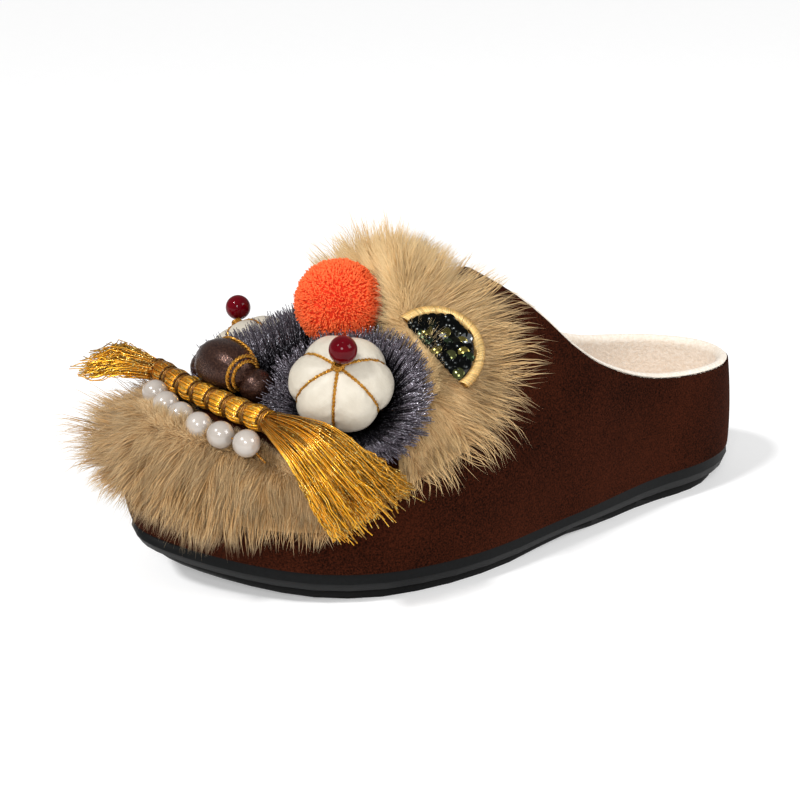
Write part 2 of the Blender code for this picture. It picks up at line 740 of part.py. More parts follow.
def make_ear(name, side):
    """A half-moon over the brow, its round side outwards, and the rim on that side."""
    row = EARS[side]
    point, normal = seat(row)
    heelward = Vector((0, 1, 0))
    frame = placed(point + normal * row.lift, heelward.cross(normal), normal)

    def half_moon(radius, height):
        turns = [math.pi * k / EAR_STEPS + side * EAR_TURN for k in range(EAR_STEPS + 1)]
        return [frame @ Vector((radius * math.cos(turn), radius * math.sin(turn), height)) for turn in turns]

    faces = [half_moon(EAR_RADIUS, level * EAR_THICK / 2) for level in (-1, 1)]
    loft(f"ear_{name}", faces, SEQUIN)
    rim = half_moon(EAR_RADIUS + EAR_RIM + GAP, 0)
    tube(f"ear_rim_{name}", rim, [EAR_RIM] * len(rim), GOLD, 1)


def arc_point(arc, along):
    """Point of a row over the toe that bows ahead: along runs from -1, medial, to 1, lateral."""
    across, ahead = row_axes(arc.turn)
    middle = Vector((arc.x, y_of(arc.station), arc.height - arc.drop * along))
    return middle + across * arc.half * along - ahead * arc.bow * along**2


def make_mouth():
    steps = 4 * BUNDLE_BULGES
    points = [arc_point(BUNDLE, 2 * k / steps - 1) for k in range(steps + 1)]
    radii = []
    for k in range(steps + 1):
        swell = math.sin(math.pi * k * BUNDLE_BULGES / steps) ** 2
        radii.append(BUNDLE_RADIUS * (BUNDLE_NECK + (1 - BUNDLE_NECK) * math.sqrt(swell)))
    tube("mouth_bundle", points, radii, GOLD, 2)
    for k in range(PEARL_COUNT):
        centre = arc_point(PEARLS, 2 * k / (PEARL_COUNT - 1) - 1)
        frame = Matrix.Translation(centre)
        blob(f"pearl_{k + 1}", PEARL, frame, 10, 7, lambda direction: PEARL_RADIUS)


def make_tassel(name, across, rows):
    """A fan of strips: sections across the middle line, the last one ragged."""
    across = across.normalized()
    rings = []
    for k, row in enumerate(rows):
        middle = Vector((row.x, row.y, row.z)) * MM
        after = rows[min(k + 1, len(rows) - 1)]
        before = rows[max(k - 1, 0)]
        along = Vector((after.x - before.x, after.y - before.y, after.z - before.z)).normalized()
        over = along.cross(across).normalized()
        last = k == len(rows) - 1
        top, low = [], []
        for n in range(2 * TASSEL_STRIPS + 1):
            place = n / TASSEL_STRIPS - 1
            strip = n % 2
            point = middle + across * row.width * MM / 2 * place
            point += along * TASSEL_RAGGED * (strip if last else 0)
            half = row.thick * MM / 2 * math.sqrt(1 - TASSEL_EDGE_THINNING * place**2)
            top.append(point + over * (half + TASSEL_RIDGES * strip))
            low.append(point - over * half)
        rings.append(top + low[::-1])
    loft(name, rings, GOLD)


def fur_place(edge, reach, proud, side):
    """Point over the upper between a fur band's inner edge (reach 0) and outer edge (reach 1)."""
    station = edge.inner_at + (edge.outer_at - edge.inner_at) * reach
    rise = edge.inner_rise + (edge.outer_rise - edge.inner_rise) * reach
    around = around_at(station, side) if side else station
    return skin(around, clamp(rise, 0.02, 1), proud)


def fur_edge(rows, station):
    return FurEdge(station, *(eased(rows, column, station) for column in FurEdge._fields[1:]))


def make_fur(name, edges, sides, tiers):
    """Tiers of locks: every other section reaches further and stands higher."""
    rings = []
    for k, (edge, side) in enumerate(zip(edges, sides)):
        lock = k % 2
        top = []
        for tier in tiers:
            reach = tier.lock_reach if lock else tier.reach
            body = tier.crest if lock else tier.body
            pile = edge.thick + (edge.hem - edge.thick) * reach
            top.append(fur_place(edge, reach, body * pile * MM, side))
        hem = LOCK_REACH if lock else HEM_REACH
        top.append(fur_place(edge, hem, (edge.tip if lock else HEM_BODY * edge.hem) * MM, side))
        low = []
        for n in range(len(top)):
            reach = BACKING_REACH * HEM_REACH * n / (len(top) - 1)
            low.append(fur_place(edge, reach, 2 * GAP, side))
        rings.append(top + low[::-1])
    loft(name, rings, FUR)


def make_furs():
    count = 2 * BROW_LOCKS
    turns = [2 * k / count - 1 for k in range(count + 1)]
    brow = [fur_edge(BROW, turn) for turn in turns]
    make_fur("fur_brow", brow, [1 if turn < 0 else -1 for turn in turns], BROW_TIERS)
    count = 2 * CHIN_LOCKS
    chin = [fur_edge(CHIN, k / count) for k in range(count + 1)]
    make_fur("fur_chin", chin, [0] * len(chin), CHIN_TIERS)


for old in list(bpy.data.objects):
    bpy.data.objects.remove(old)
parts = bpy.data.collections.new("tiger_head_mule")
cutters = bpy.data.collections.new("cutters")
bpy.context.scene.collection.children.link(parts)
bpy.context.scene.collection.children.link(cutters)

make_outsole()
surface = make_upper()
make_insole()
make_furs()
make_mouth()
make_nose()
make_pompom()
for tassel, (width_axis, fan_rows) in TASSELS.items():
    make_tassel(tassel, width_axis, fan_rows)
for flank, way in (("lateral", 1), ("medial", -1)):
    make_puff(flank, way)
    make_fringe(flank, way)
    make_ear(flank, way)
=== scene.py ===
"""Looks of the tiger head mule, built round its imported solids: suede, plush, fur, thread and trim."""

import logging
import math
from collections.abc import Callable
from dataclasses import dataclass
from enum import Enum
from functools import cache

import bmesh
import bpy
import numpy as np
from mathutils import Matrix, Vector
from mathutils.bvhtree import BVHTree


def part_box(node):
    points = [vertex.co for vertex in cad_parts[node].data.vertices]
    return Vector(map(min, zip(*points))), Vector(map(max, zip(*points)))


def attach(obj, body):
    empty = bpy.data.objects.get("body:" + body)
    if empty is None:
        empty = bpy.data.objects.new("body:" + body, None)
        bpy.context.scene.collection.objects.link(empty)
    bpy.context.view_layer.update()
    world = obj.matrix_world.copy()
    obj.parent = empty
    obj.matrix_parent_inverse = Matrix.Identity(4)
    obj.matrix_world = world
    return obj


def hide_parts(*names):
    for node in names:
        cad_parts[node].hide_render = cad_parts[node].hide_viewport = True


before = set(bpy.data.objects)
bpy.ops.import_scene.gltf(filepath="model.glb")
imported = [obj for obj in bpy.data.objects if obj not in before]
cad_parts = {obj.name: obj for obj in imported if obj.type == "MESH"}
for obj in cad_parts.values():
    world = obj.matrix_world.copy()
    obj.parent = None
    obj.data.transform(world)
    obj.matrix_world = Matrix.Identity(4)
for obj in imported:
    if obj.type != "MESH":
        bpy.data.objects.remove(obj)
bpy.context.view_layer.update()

logging.basicConfig(level=logging.INFO, format="%(message)s")
log = logging.getLogger("mule")

MM = 0.001
Array = np.ndarray
Colour = tuple[float, float, float]


class Slot(Enum):
    """Material slot names that the finishes carry."""

    SUEDE = "suede"
    RUBBER = "rubber"
    FOOTBED = "footbed"
    FUR = "fur"
    GOLD = "gold_thread"
    PEARL = "pearl"
    BROWN_SATIN = "brown_satin"
    WHITE_SATIN = "white_satin"
    GLASS = "red_glass"
    GREY = "grey_thread"
    ORANGE = "orange_yarn"
    SEQUIN = "sequin"


class Flank(Enum):
    """Side of the shoe: the sign of its X."""

    LATERAL = 1
    MEDIAL = -1

    @property
    def word(self) -> str:
        """The flank's name in the CAD nodes."""
        return self.name.lower()


# Arithmetic shared by the forms


def eased(rows: Array, column: int, station: Array) -> Array:
    """Reads one column of a table on a smooth curve with no overshoot.

    Args:
        rows: Table whose first column holds rising stations.
        column: Column to read.
        station: Places to read it at.

    Returns:
        The column's values there.
    """
    x, v = rows[:, 0], rows[:, column]
    slope = np.diff(v) / np.diff(x)
    before, after = slope[:-1], slope[1:]
    rising = before * after > 0
    inner = np.where(rising, 2 * before * after / np.where(rising, before + after, 1), 0)
    tangent = np.concatenate([slope[:1], inner, slope[-1:]])
    t = np.clip(station, x[0], x[-1])
    k = np.clip(np.searchsorted(x, t, side="right") - 1, 0, len(x) - 2)
    width = x[k + 1] - x[k]
    s = (t - x[k]) / width
    curve = (2 * s**3 - 3 * s**2 + 1) * v[k] + (3 * s**2 - 2 * s**3) * v[k + 1]
    return curve + width * ((s**3 - 2 * s**2 + s) * tangent[k] + (s**3 - s**2) * tangent[k + 1])


def unit(vectors: Array) -> Array:
    """Scales vectors to length one."""
    return vectors / np.maximum(np.linalg.norm(vectors, axis=-1, keepdims=True), 1e-12)


def ramp(value: Array, low: float, high: float) -> Array:
    """Rises smoothly from 0 at low to 1 at high."""
    s = np.clip((value - low) / (high - low), 0, 1)
    return s * s * (3 - 2 * s)


def srgb(red: int, green: int, blue: int) -> Colour:
    """Turns a colour of 0 to 255 into the linear values that shaders use."""
    parts = (value / 255 for value in (red, green, blue))
    return tuple(p / 12.92 if p <= 0.04045 else ((p + 0.055) / 1.055) ** 2.4 for p in parts)


@dataclass(frozen=True)
class Last:
    """The form of the shoe, with the sizes of its solids.

    A station runs from 0 at the heel tip to 1 at the toe tip. Around runs from the heel tip along the lateral
    side to 0.5 at the toe tip and back along the medial side. Rise runs from 0 at the sole to 1 on the ridge.
    """

    length: float = 258 * MM
    heel_behind: float = 34 * MM
    widths: tuple = (
        (0.00, 31, 33),
        (0.15, 30, 32.5),
        (0.40, 44, 34),
        (0.62, 55, 45),
        (0.80, 51.5, 44),
        (1.00, 36, 38),
    )
    heel_round: float = 0.18
    toe_round: tuple = ((0.33, 1.85), (0.28, 2.6))
    ridges: tuple = (
        (0.00, 130, 1.60),
        (0.14, 130, 1.60),
        (0.30, 124, 1.65),
        (0.46, 107, 1.80),
        (0.60, 87.5, 1.80),
        (0.75, 69.5, 1.74),
        (0.88, 61, 2.10),
        (1.00, 57, 2.30),
    )
    ridge_ends: tuple = (0.14, 0.87)
    ridge_step: float = 0.01
    bulges: tuple = (1.5 * MM, 4.0 * MM)
    bulge_from: float = 0.75
    seam: float = 0.3 * MM
    throat: float = 0.49
    collars: tuple = (
        (-0.05, 51.0),
        (0.05, 51.3),
        (0.10, 52.0),
        (0.16, 53.0),
        (0.20, 54.2),
        (0.25, 57.6),
        (0.33, 67.0),
        (0.385, 77.5),
        (0.42, 87.0),
        (0.45, 94.5),
    )
    sole_height: float = 12 * MM
    heel_rise: float = 2.2 * MM
    toe_spring: float = 11 * MM
    spring_from: float = 0.70
    halvings: int = 30

    def y_of(self, station: Array) -> Array:
        """Turns stations into Y."""
        return self.heel_behind - station * self.length

    @staticmethod
    def station_at(around: Array) -> Array:
        """Turns places round the outline into stations."""
        return 0.5 - 0.5 * np.cos(2 * np.pi * around)

    @staticmethod
    def around_at(station: Array, side: Array) -> Array:
        """Turns stations on a side, 1 lateral or -1 medial, into places round the outline."""
        around = np.arccos(np.clip(1 - 2 * station, -1, 1)) / (2 * np.pi)
        return np.where(side > 0, around, 1 - around)

    def half_width(self, station: Array, side: int) -> Array:
        """Reads half the width of the sole, with heel and toe rounded off.

        Args:
            station: Places along the sole.
            side: 1 lateral or -1 medial.

        Returns:
            Half widths, in metres.
        """
        reach, power = self.toe_round[0 if side > 0 else 1]
        into_heel = np.clip((self.heel_round - station) / self.heel_round, 0, 1)
        into_toe = np.clip((station - 1 + reach) / reach, 0, 1)
        rounded = np.sqrt(1 - into_heel**2) * (1 - into_toe**power) ** (1 / power)
        return eased(np.array(self.widths), 1 if side > 0 else 2, station) * MM * rounded

    def outline(self, around: Array) -> Array:
        """Finds points of the sole's outline, in plan.

        Args:
            around: Places round the outline.

        Returns:
            X and Y of each.
        """
        station = self.station_at(around)
        lateral = np.sin(2 * np.pi * around) >= 0
        x = np.where(lateral, self.half_width(station, 1), -self.half_width(station, -1))
        return np.stack([x, self.y_of(station)], -1)

    def outward(self, around: Array) -> Array:
        """Finds which way the outline faces, in plan.

        Args:
            around: Places round the outline.

        Returns:
            Unit normals.
        """
        step = 1e-4
        along = self.outline(around + step) - self.outline(around - step)
        return unit(np.stack([-along[..., 1], along[..., 0]], -1))

    def sole_top(self, station: Array) -> Array:
        """Height of the sole's top."""
        spring = self.toe_spring * np.clip((station - self.spring_from) / (1 - self.spring_from), 0, 1) ** 2
        return self.sole_height + spring + self.heel_rise * np.clip(1 - 2 * station, 0, 1)

    def ridge(self, station: Array) -> Array:
        """Points of the upper's ridge, over the middle of the sole."""
        middle = (self.half_width(station, 1) - self.half_width(station, -1)) / 2
        return np.stack([middle, self.y_of(station), eased(np.array(self.ridges), 1, station) * MM], -1)

    def ridge_station(self, around: Array) -> Array:
        """Where on the ridge the wall that starts at a place of the outline ends."""
        low, high = self.ridge_ends
        return low + (high - low) * self.station_at(around)

    def skin(self, around: Array, rise: Array, proud: Array = 0.0) -> Array:
        """Points on the upper's outside.

        Args:
            around: Places round the outline.
            rise: How far up the wall.
            proud: How far off the wall.

        Returns:
            Points, in metres.
        """
        around, rise, proud = np.broadcast_arrays(around, rise, proud)
        station = self.station_at(around)
        at_ridge = self.ridge_station(around)
        top, past = self.ridge(at_ridge), self.ridge(at_ridge + self.ridge_step)
        slope = (past[..., 2] - top[..., 2]) / (past[..., 1] - top[..., 1])
        fullness = eased(np.array(self.ridges), 2, at_ridge)
        angle = np.clip(rise, 0, 1) * np.pi / 2
        inward = np.maximum(np.cos(angle), 0) ** (2 / fullness)
        upward = np.sin(angle) ** (2 / fullness)
        fuller = np.clip((station - self.bulge_from) / (1 - self.bulge_from), 0, 1)
        bulge = self.bulges[0] + self.bulges[1] * fuller
        off = bulge * np.sin(2 * angle) + proud * np.cos(angle)
        plan = top[..., :2] + (self.outline(around) - top[..., :2]) * inward[..., None]
        plan = plan + self.outward(around) * off[..., None]
        floor = self.sole_top(station) + self.seam
        crown = top[..., 2] + slope * (plan[..., 1] - top[..., 1])
        height = floor + (crown - floor) * upward + proud * np.sin(angle)
        return np.concatenate([plan, height[..., None]], -1)

    def normal(self, around: Array, rise: Array) -> Array:
        """Finds which way the upper's outside faces.

        Args:
            around: Places round the outline.
            rise: How far up the wall.

        Returns:
            Unit normals.
        """
        step = 2e-3
        low, high = np.clip(rise - step, 0, 1), np.clip(rise + step, 0, 1)
        up = self.skin(around, high) - self.skin(around, low)
        along = self.skin(around + step, rise) - self.skin(around - step, rise)
        return unit(np.cross(up, along))

    def highest(self, around: Array) -> Array:
        """Finds how far up each stretch of wall goes before the collar cuts it.

        Args:
            around: Places round the outline.

        Returns:
            Rises.
        """
        throat = self.ridge(np.array(self.throat))[2] / MM
        rows = np.array((*self.collars, (self.throat, throat)))
        low, high = np.zeros_like(around), np.ones_like(around)
        for _ in range(self.halvings):
            middle = (low + high) / 2
            point = self.skin(around, middle)
            station = (self.heel_behind - point[..., 1]) / self.length
            under = point[..., 2] < eased(rows, 1, station) * MM
            low, high = np.where(under, middle, low), np.where(under, high, middle)
        return np.where(self.ridge_station(around) >= self.throat - 1e-6, 1.0, low)


LAST = Last()


# Finishes


def filled(tree: bpy.types.NodeTree, node: bpy.types.Node, sockets: dict) -> bpy.types.Node:
    """Fills a node's input sockets.

    Args:
        tree: Node tree that holds the node.
        node: The node.
        sockets: Input names or numbers with a value or another node's output.

    Returns:
        The node.
    """
    for key, value in sockets.items():
        if isinstance(value, bpy.types.NodeSocket):
            tree.links.new(value, node.inputs[key])
        else:
            node.inputs[key].default_value = (*value, 1) if isinstance(value, tuple) else value
    return node


def wired(tree: bpy.types.NodeTree, kind: str, sockets: dict, **settings: object) -> bpy.types.Node:
    """Adds a node.

    Args:
        tree: Node tree to add to.
        kind: The node's type.
        sockets: Input names or numbers with a value or another node's output.
        settings: Attributes of the node.

    Returns:
        The node.
    """
    node = tree.nodes.new(kind)
    for key, value in settings.items():
        setattr(node, key, value)
    return filled(tree, node, sockets)


def mixed(tree: bpy.types.NodeTree, factor: object, first: object, second: object) -> bpy.types.NodeSocket:
    """Adds a colour mix and returns its output."""
    return wired(tree, "ShaderNodeMix", {0: factor, 6: first, 7: second}, data_type="RGBA").outputs[2]


def reckoned(tree: bpy.types.NodeTree, operation: str, *terms: object) -> bpy.types.NodeSocket:
    """Adds a sum of the given kind and returns its output."""
    return wired(tree, "ShaderNodeMath", dict(enumerate(terms)), operation=operation).outputs[0]


def ranged(tree: bpy.types.NodeTree, value: object, *ends: object) -> bpy.types.NodeSocket:
    """Maps a value from one range, the first two ends, to another, 0 to 1 or the last two."""
    return wired(tree, "ShaderNodeMapRange", dict(enumerate((value, *ends)))).outputs[0]


def noise(tree: bpy.types.NodeTree, place: bpy.types.NodeSocket, **values: object) -> bpy.types.NodeSocket:
    """Adds a noise over a place and returns its value."""
    return wired(tree, "ShaderNodeTexNoise", {"Vector": place, **values}).outputs[0]


def object_place(tree: bpy.types.NodeTree) -> bpy.types.NodeSocket:
    """The place on the object that a pattern is read at."""
    return tree.nodes.new("ShaderNodeTexCoord").outputs["Object"]


def effect(tree: bpy.types.NodeTree, group: bpy.types.NodeTree, sockets: dict) -> bpy.types.Node:
    """Adds a shared effect to a material with its own values."""
    return wired(tree, "ShaderNodeGroup", sockets, node_tree=group)


class Effects:
    """Shader node groups that several finishes share. Each is built once."""

    grey: Colour = (0.5, 0.5, 0.5)

    @staticmethod
    def group(name: str, inputs: dict, outputs: dict) -> tuple:
        """Starts a node group.

        Args:
            name: The group's name.
            inputs: Socket names with a number or a colour as the value to start from.
            outputs: Socket names with their socket types.

        Returns:
            The group, the outputs of its input node and the inputs of its output node.
        """
        tree = bpy.data.node_groups.new(name, "ShaderNodeTree")
        for socket, value in inputs.items():
            kind = "NodeSocketColor" if isinstance(value, tuple) else "NodeSocketFloat"
            slot = tree.interface.new_socket(socket, in_out="INPUT", socket_type=kind)
            slot.default_value = (*value, 1) if isinstance(value, tuple) else value
        for socket, kind in outputs.items():
            tree.interface.new_socket(socket, in_out="OUTPUT", socket_type=kind)
        return tree, tree.nodes.new("NodeGroupInput").outputs, tree.nodes.new("NodeGroupOutput").inputs

    @classmethod
    @cache
    def strand_tone(cls) -> bpy.types.ShaderNodeTree:
        """Colour of a hair or thread from its root to its tip, each a little lighter or darker.

        Returns:
            The group.
        """
        inputs = {"Along": 0.5, "Tone": 0.5, "Root": cls.grey, "Middle": cls.grey, "Tip": cls.grey}
        inputs |= {"Spread": 0.5, "Rise": 0.45}
        tree, given, out = cls.group("strand_tone", inputs, {"Color": "NodeSocketColor"})
        low = ranged(tree, given["Along"], 0.0, given["Rise"])
        body = mixed(tree, low, given["Root"], given["Middle"])
        high = ranged(tree, given["Along"], given["Rise"], 1.0)
        whole = mixed(tree, high, body, given["Tip"])
        half = reckoned(tree, "SUBTRACT", given["Tone"], 0.5)
        swing = reckoned(tree, "MULTIPLY", half, given["Spread"])
        value = reckoned(tree, "ADD", swing, 1.0)
        toned = wired(tree, "ShaderNodeHueSaturation", {"Value": value, "Color": whole})
        tree.links.new(toned.outputs[0], out["Color"])
        return tree

    @classmethod
    @cache
    def fine_grain(cls) -> bpy.types.ShaderNodeTree:
        """Speckled colour and height of a nap, with slow drift over the whole surface.

        Returns:
            The group.
        """
        inputs = {"Scale": 1500.0, "Drift Scale": 30.0, "Low": cls.grey, "High": cls.grey, "Drift": 0.3}
        outputs = {"Color": "NodeSocketColor", "Height": "NodeSocketFloat"}
        tree, given, out = cls.group("fine_grain", inputs, outputs)
        place = object_place(tree)
        fine = noise(tree, place, Scale=given["Scale"], Detail=3.0, Roughness=0.65)
        slow = noise(tree, place, Scale=given["Drift Scale"], Detail=2.0)
        sharp = ranged(tree, fine, 0.32, 0.68)
        shift = reckoned(tree, "SUBTRACT", slow, 0.5)
        total = reckoned(tree, "ADD", sharp, reckoned(tree, "MULTIPLY", shift, given["Drift"]))
        tree.links.new(mixed(tree, total, given["Low"], given["High"]), out["Color"])
        tree.links.new(fine, out["Height"])
        return tree

    @classmethod
    @cache
    def satin_weave(cls) -> bpy.types.ShaderNodeTree:
        """Height and mask of long satin floats that run one way with short breaks.

        Returns:
            The group.
        """
        outputs = {"Height": "NodeSocketFloat", "Mask": "NodeSocketFloat"}
        tree, given, out = cls.group("satin_weave", {"Scale": 400.0, "Slub": 60.0}, outputs)
        place = object_place(tree)
        wave = {"Vector": place, "Scale": given["Scale"], "Distortion": 1.2, "Detail": 1.0}
        floats = wired(tree, "ShaderNodeTexWave", wave, bands_direction="DIAGONAL")
        slub = noise(tree, place, Scale=given["Slub"], Detail=4.0)
        tree.links.new(reckoned(tree, "MULTIPLY_ADD", floats.outputs[1], 0.06, slub), out["Height"])
        tree.links.new(slub, out["Mask"])
        return tree

    @classmethod
    @cache
    def glint(cls) -> bpy.types.ShaderNodeTree:
        """Mask of the painted glints: small bright flecks on metal thread and sparkling satin.

        Returns:
            The group.
        """
        tree, given, out = cls.group("glint", {"Scale": 1800.0, "Rarity": 0.55}, {"Mask": "NodeSocketFloat"})
        flecks = noise(tree, object_place(tree), Scale=given["Scale"], Detail=1.0)
        full = reckoned(tree, "ADD", given["Rarity"], 0.12)
        tree.links.new(ranged(tree, flecks, given["Rarity"], full), out["Mask"])
        return tree


@dataclass(frozen=True)
class Fleck:
    """Painted glints: bright flecks mixed into the colour of metal thread or sparkling satin, which is also
    smoother there.
    """

    colour: Colour
    amount: float
    scale: float
    rarity: float = 0.56
    roughness: float = 0.22


@dataclass(frozen=True)
class Finish:
    """What every finish has: its slot and the shader values that are the same all over it."""

    name: str
    slot: Slot
    roughness: float = 0.6
    metallic: float = 0.0
    specular: float = 0.5
    sheen: float = 0.0
    sheen_tint: Colour = (1.0, 1.0, 1.0)
    coat: float = 0.0
    coat_roughness: float = 0.06
    transmission: float = 0.0
    glow: float = 0.0

    @cache
    def material(self) -> bpy.types.Material:
        """Builds the material the first time, and hands it out after that.

        Returns:
            The material.
        """
        made = bpy.data.materials.new(f"look_{self.name}")
        made.use_nodes = True
        shader = made.node_tree.nodes["Principled BSDF"]
        values = {
            "Roughness": self.roughness,
            "Metallic": self.metallic,
            "Specular IOR Level": self.specular,
            "Sheen Weight": self.sheen,
            "Sheen Tint": self.sheen_tint,
            "Coat Weight": self.coat,
            "Coat Roughness": self.coat_roughness,
            "Transmission Weight": self.transmission,
            "Emission Color": (1.0, 1.0, 1.0),
            "Emission Strength": self.glow,
        }
        filled(made.node_tree, shader, values)
        self.dress(made.node_tree, shader)
        return made

    def dress(self, tree: bpy.types.NodeTree, shader: bpy.types.Node) -> None:
        """Wires what changes over the surface of one kind of finish."""

    @staticmethod
    def with_painted_glints(
        tree: bpy.types.NodeTree, shader: bpy.types.Node, colour: bpy.types.NodeSocket, fleck: Fleck
    ) -> bpy.types.NodeSocket:
        """Scatters painted glints over a colour: bright, smoother flecks.

        Args:
            tree: The material's nodes.
            shader: Its shader, whose roughness drops on the flecks.
            colour: Colour between the flecks.
            fleck: What they are like.

        Returns:
            The colour with its painted glints.
        """
        mask = effect(tree, Effects.glint(), {"Scale": fleck.scale, "Rarity": fleck.rarity}).outputs[0]
        rough = shader.inputs["Roughness"]
        tree.links.new(ranged(tree, mask, 0.0, 1.0, rough.default_value, fleck.roughness), rough)
        return mixed(tree, reckoned(tree, "MULTIPLY", mask, fleck.amount), colour, fleck.colour)

    @staticmethod
    def bump(
        tree: bpy.types.NodeTree, shader: bpy.types.Node, height: bpy.types.NodeSocket, relief: tuple
    ) -> None:
        """Feeds a height to the shader's normal.

        Args:
            tree: The material's nodes.
            shader: Its shader.
            height: The height's socket.
            relief: How strong it shows, and its depth in metres.
        """
        strength, depth = relief
        node = wired(tree, "ShaderNodeBump", {"Strength": strength, "Distance": depth, "Height": height})
        tree.links.new(node.outputs[0], shader.inputs["Normal"])


@dataclass(frozen=True)
class NapFinish(Finish):
    """Speckled nap: suede, rubber, plush backing."""

    low: Colour = (0.1, 0.1, 0.1)
    high: Colour = (0.2, 0.2, 0.2)
    scale: float = 1500.0
    drift_scale: float = 30.0
    drift: float = 0.3
    strength: float = 0.3
    depth: float = 0.3 * MM

    def dress(self, tree: bpy.types.NodeTree, shader: bpy.types.Node) -> None:
        """Colours and roughens the surface from the shared grain.

        Args:
            tree: The material's nodes.
            shader: Its shader.
        """
        values = {"Scale": self.scale, "Drift Scale": self.drift_scale, "Drift": self.drift}
        grain = effect(tree, Effects.fine_grain(), values | {"Low": self.low, "High": self.high})
        tree.links.new(grain.outputs["Color"], shader.inputs["Base Color"])
        self.bump(tree, shader, grain.outputs["Height"], (self.strength, self.depth))


@dataclass(frozen=True)
class PeltFinish(Finish):
    """Dense fur seen from above: streaks that follow the sheet's own map.

    Layers gives the scale of the fine streaks and of the locks under them, across the hair and along it.
    """

    low: Colour = (0.1, 0.1, 0.1)
    high: Colour = (0.2, 0.2, 0.2)
    layers: tuple = ((420.0, 12.0), (67.2, 3.6))
    contrast: tuple = (0.72, 1.28)
    relief: tuple = (0.9, 1.0 * MM)

    def dress(self, tree: bpy.types.NodeTree, shader: bpy.types.Node) -> None:
        """Draws fine streaks along the hair and broader locks under them.

        Args:
            tree: The material's nodes.
            shader: Its shader.
        """
        laid = wired(tree, "ShaderNodeUVMap", {}, uv_map="laid").outputs[0]
        streaks = []
        for across, along in self.layers:
            scale = Vector((across, along, 1))
            place = wired(tree, "ShaderNodeMapping", {"Vector": laid, "Scale": scale}).outputs[0]
            streaks.append(noise(tree, place, Scale=1.0, Detail=3.0, Distortion=0.6))
        both = reckoned(tree, "ADD", *streaks)
        sharp = ranged(tree, both, *self.contrast)
        tree.links.new(mixed(tree, sharp, self.low, self.high), shader.inputs["Base Color"])
        self.bump(tree, shader, both, self.relief)


@dataclass(frozen=True)
class StrandFinish(Finish):
    """Hair, yarn or thread that changes from root to tip."""

    root: Colour = (0.1, 0.1, 0.1)
    middle: Colour = (0.2, 0.2, 0.2)
    tip: Colour = (0.3, 0.3, 0.3)
    spread: float = 0.5
    rise: float = 0.45
    # Painted glints on metal thread.
    fleck: Fleck | None = None

    def dress(self, tree: bpy.types.NodeTree, shader: bpy.types.Node) -> None:
        """Colours each strand by its own attributes, with painted glints on metal thread.

        Args:
            tree: The material's nodes.
            shader: Its shader.
        """
        values = {"Root": self.root, "Middle": self.middle, "Tip": self.tip}
        values |= {"Spread": self.spread, "Rise": self.rise}
        for socket in ("Along", "Tone"):
            read = wired(tree, "ShaderNodeAttribute", {}, attribute_name=socket.lower())
            values[socket] = read.outputs["Fac"]
        colour = effect(tree, Effects.strand_tone(), values).outputs["Color"]
        if self.fleck:
            colour = self.with_painted_glints(tree, shader, colour, self.fleck)
        tree.links.new(colour, shader.inputs["Base Color"])


@dataclass(frozen=True)
class SatinFinish(Finish):
    """Woven satin over stuffing."""

    low: Colour = (0.5, 0.5, 0.5)
    high: Colour = (0.8, 0.8, 0.8)
    scale: float = 900.0
    slub: float = 240.0
    strength: float = 0.5
    depth: float = 0.25 * MM
    # Painted glints on sparkling satin.
    sparkle: Fleck | None = None

    def dress(self, tree: bpy.types.NodeTree, shader: bpy.types.Node) -> None:
        """Shades the floats of the weave, with fine painted glints where the satin sparkles.

        Args:
            tree: The material's nodes.
            shader: Its shader.
        """
        weave = effect(tree, Effects.satin_weave(), {"Scale": self.scale, "Slub": self.slub})
        colour = mixed(tree, weave.outputs["Mask"], self.low, self.high)
        if self.sparkle:
            colour = self.with_painted_glints(tree, shader, colour, self.sparkle)
        tree.links.new(colour, shader.inputs["Base Color"])
        self.bump(tree, shader, weave.outputs["Height"], (self.strength, self.depth))


@dataclass(frozen=True)
class SequinFinish(Finish):
    """Dark sequins with painted glints: a few are painted olive, gold or near white. A band is where its
    colour starts, and the colour.
    """

    bands: tuple = (
        (0.56, srgb(14, 16, 14)),
        (0.68, srgb(54, 70, 48)),
        (0.8, srgb(150, 138, 70)),
        (0.9, srgb(24, 26, 22)),
    )
    darkest: Colour = srgb(12, 14, 14)
    brightest: Colour = srgb(214, 220, 226)

    def dress(self, tree: bpy.types.NodeTree, shader: bpy.types.Node) -> None:
        """Gives each sequin the colour of its own random tone; the bright tones are painted glints.

        Args:
            tree: The material's nodes.
            shader: Its shader.
        """
        tone = wired(tree, "ShaderNodeAttribute", {}, attribute_name="tone")
        tints = wired(tree, "ShaderNodeValToRGB", {"Fac": tone.outputs["Fac"]})
        steps = tints.color_ramp.elements
        steps[0].color, steps[1].color = (*self.darkest, 1), (*self.brightest, 1)
        for position, colour in self.bands:
            steps.new(position).color = (*colour, 1)
        tree.links.new(tints.outputs[0], shader.inputs["Base Color"])


SUEDE = NapFinish(
    "suede", Slot.SUEDE, 0.95, specular=0.03, sheen=0.03, sheen_tint=srgb(190, 120, 90),
    low=srgb(8, 3, 2), high=srgb(64, 28, 15), scale=1600, drift_scale=26, drift=0.9, strength=0.5,
)
BAND = NapFinish(
    "rubber_band", Slot.RUBBER, 0.52, specular=0.13, low=srgb(6, 7, 7), high=srgb(13, 14, 15),
    scale=900, drift_scale=40, drift=0.6, strength=0.12,
)
TREAD = NapFinish(
    "rubber_tread", Slot.RUBBER, 0.6, specular=0.12, low=srgb(4, 4, 4), high=srgb(10, 10, 10),
    scale=700, strength=0.15,
)
PLUSH_BACK = NapFinish(
    "plush_back", Slot.FOOTBED, 0.95, sheen=0.3, low=srgb(226, 212, 194), high=srgb(242, 234, 222),
    scale=700, drift_scale=24, drift=0.7, strength=0.6, depth=0.6 * MM,
)
FOOTBED = NapFinish(
    "footbed", Slot.FOOTBED, 0.95, sheen=0.3, low=srgb(226, 186, 154), high=srgb(246, 218, 194),
    scale=600, drift_scale=22, drift=0.8, strength=0.6, depth=0.6 * MM,
)
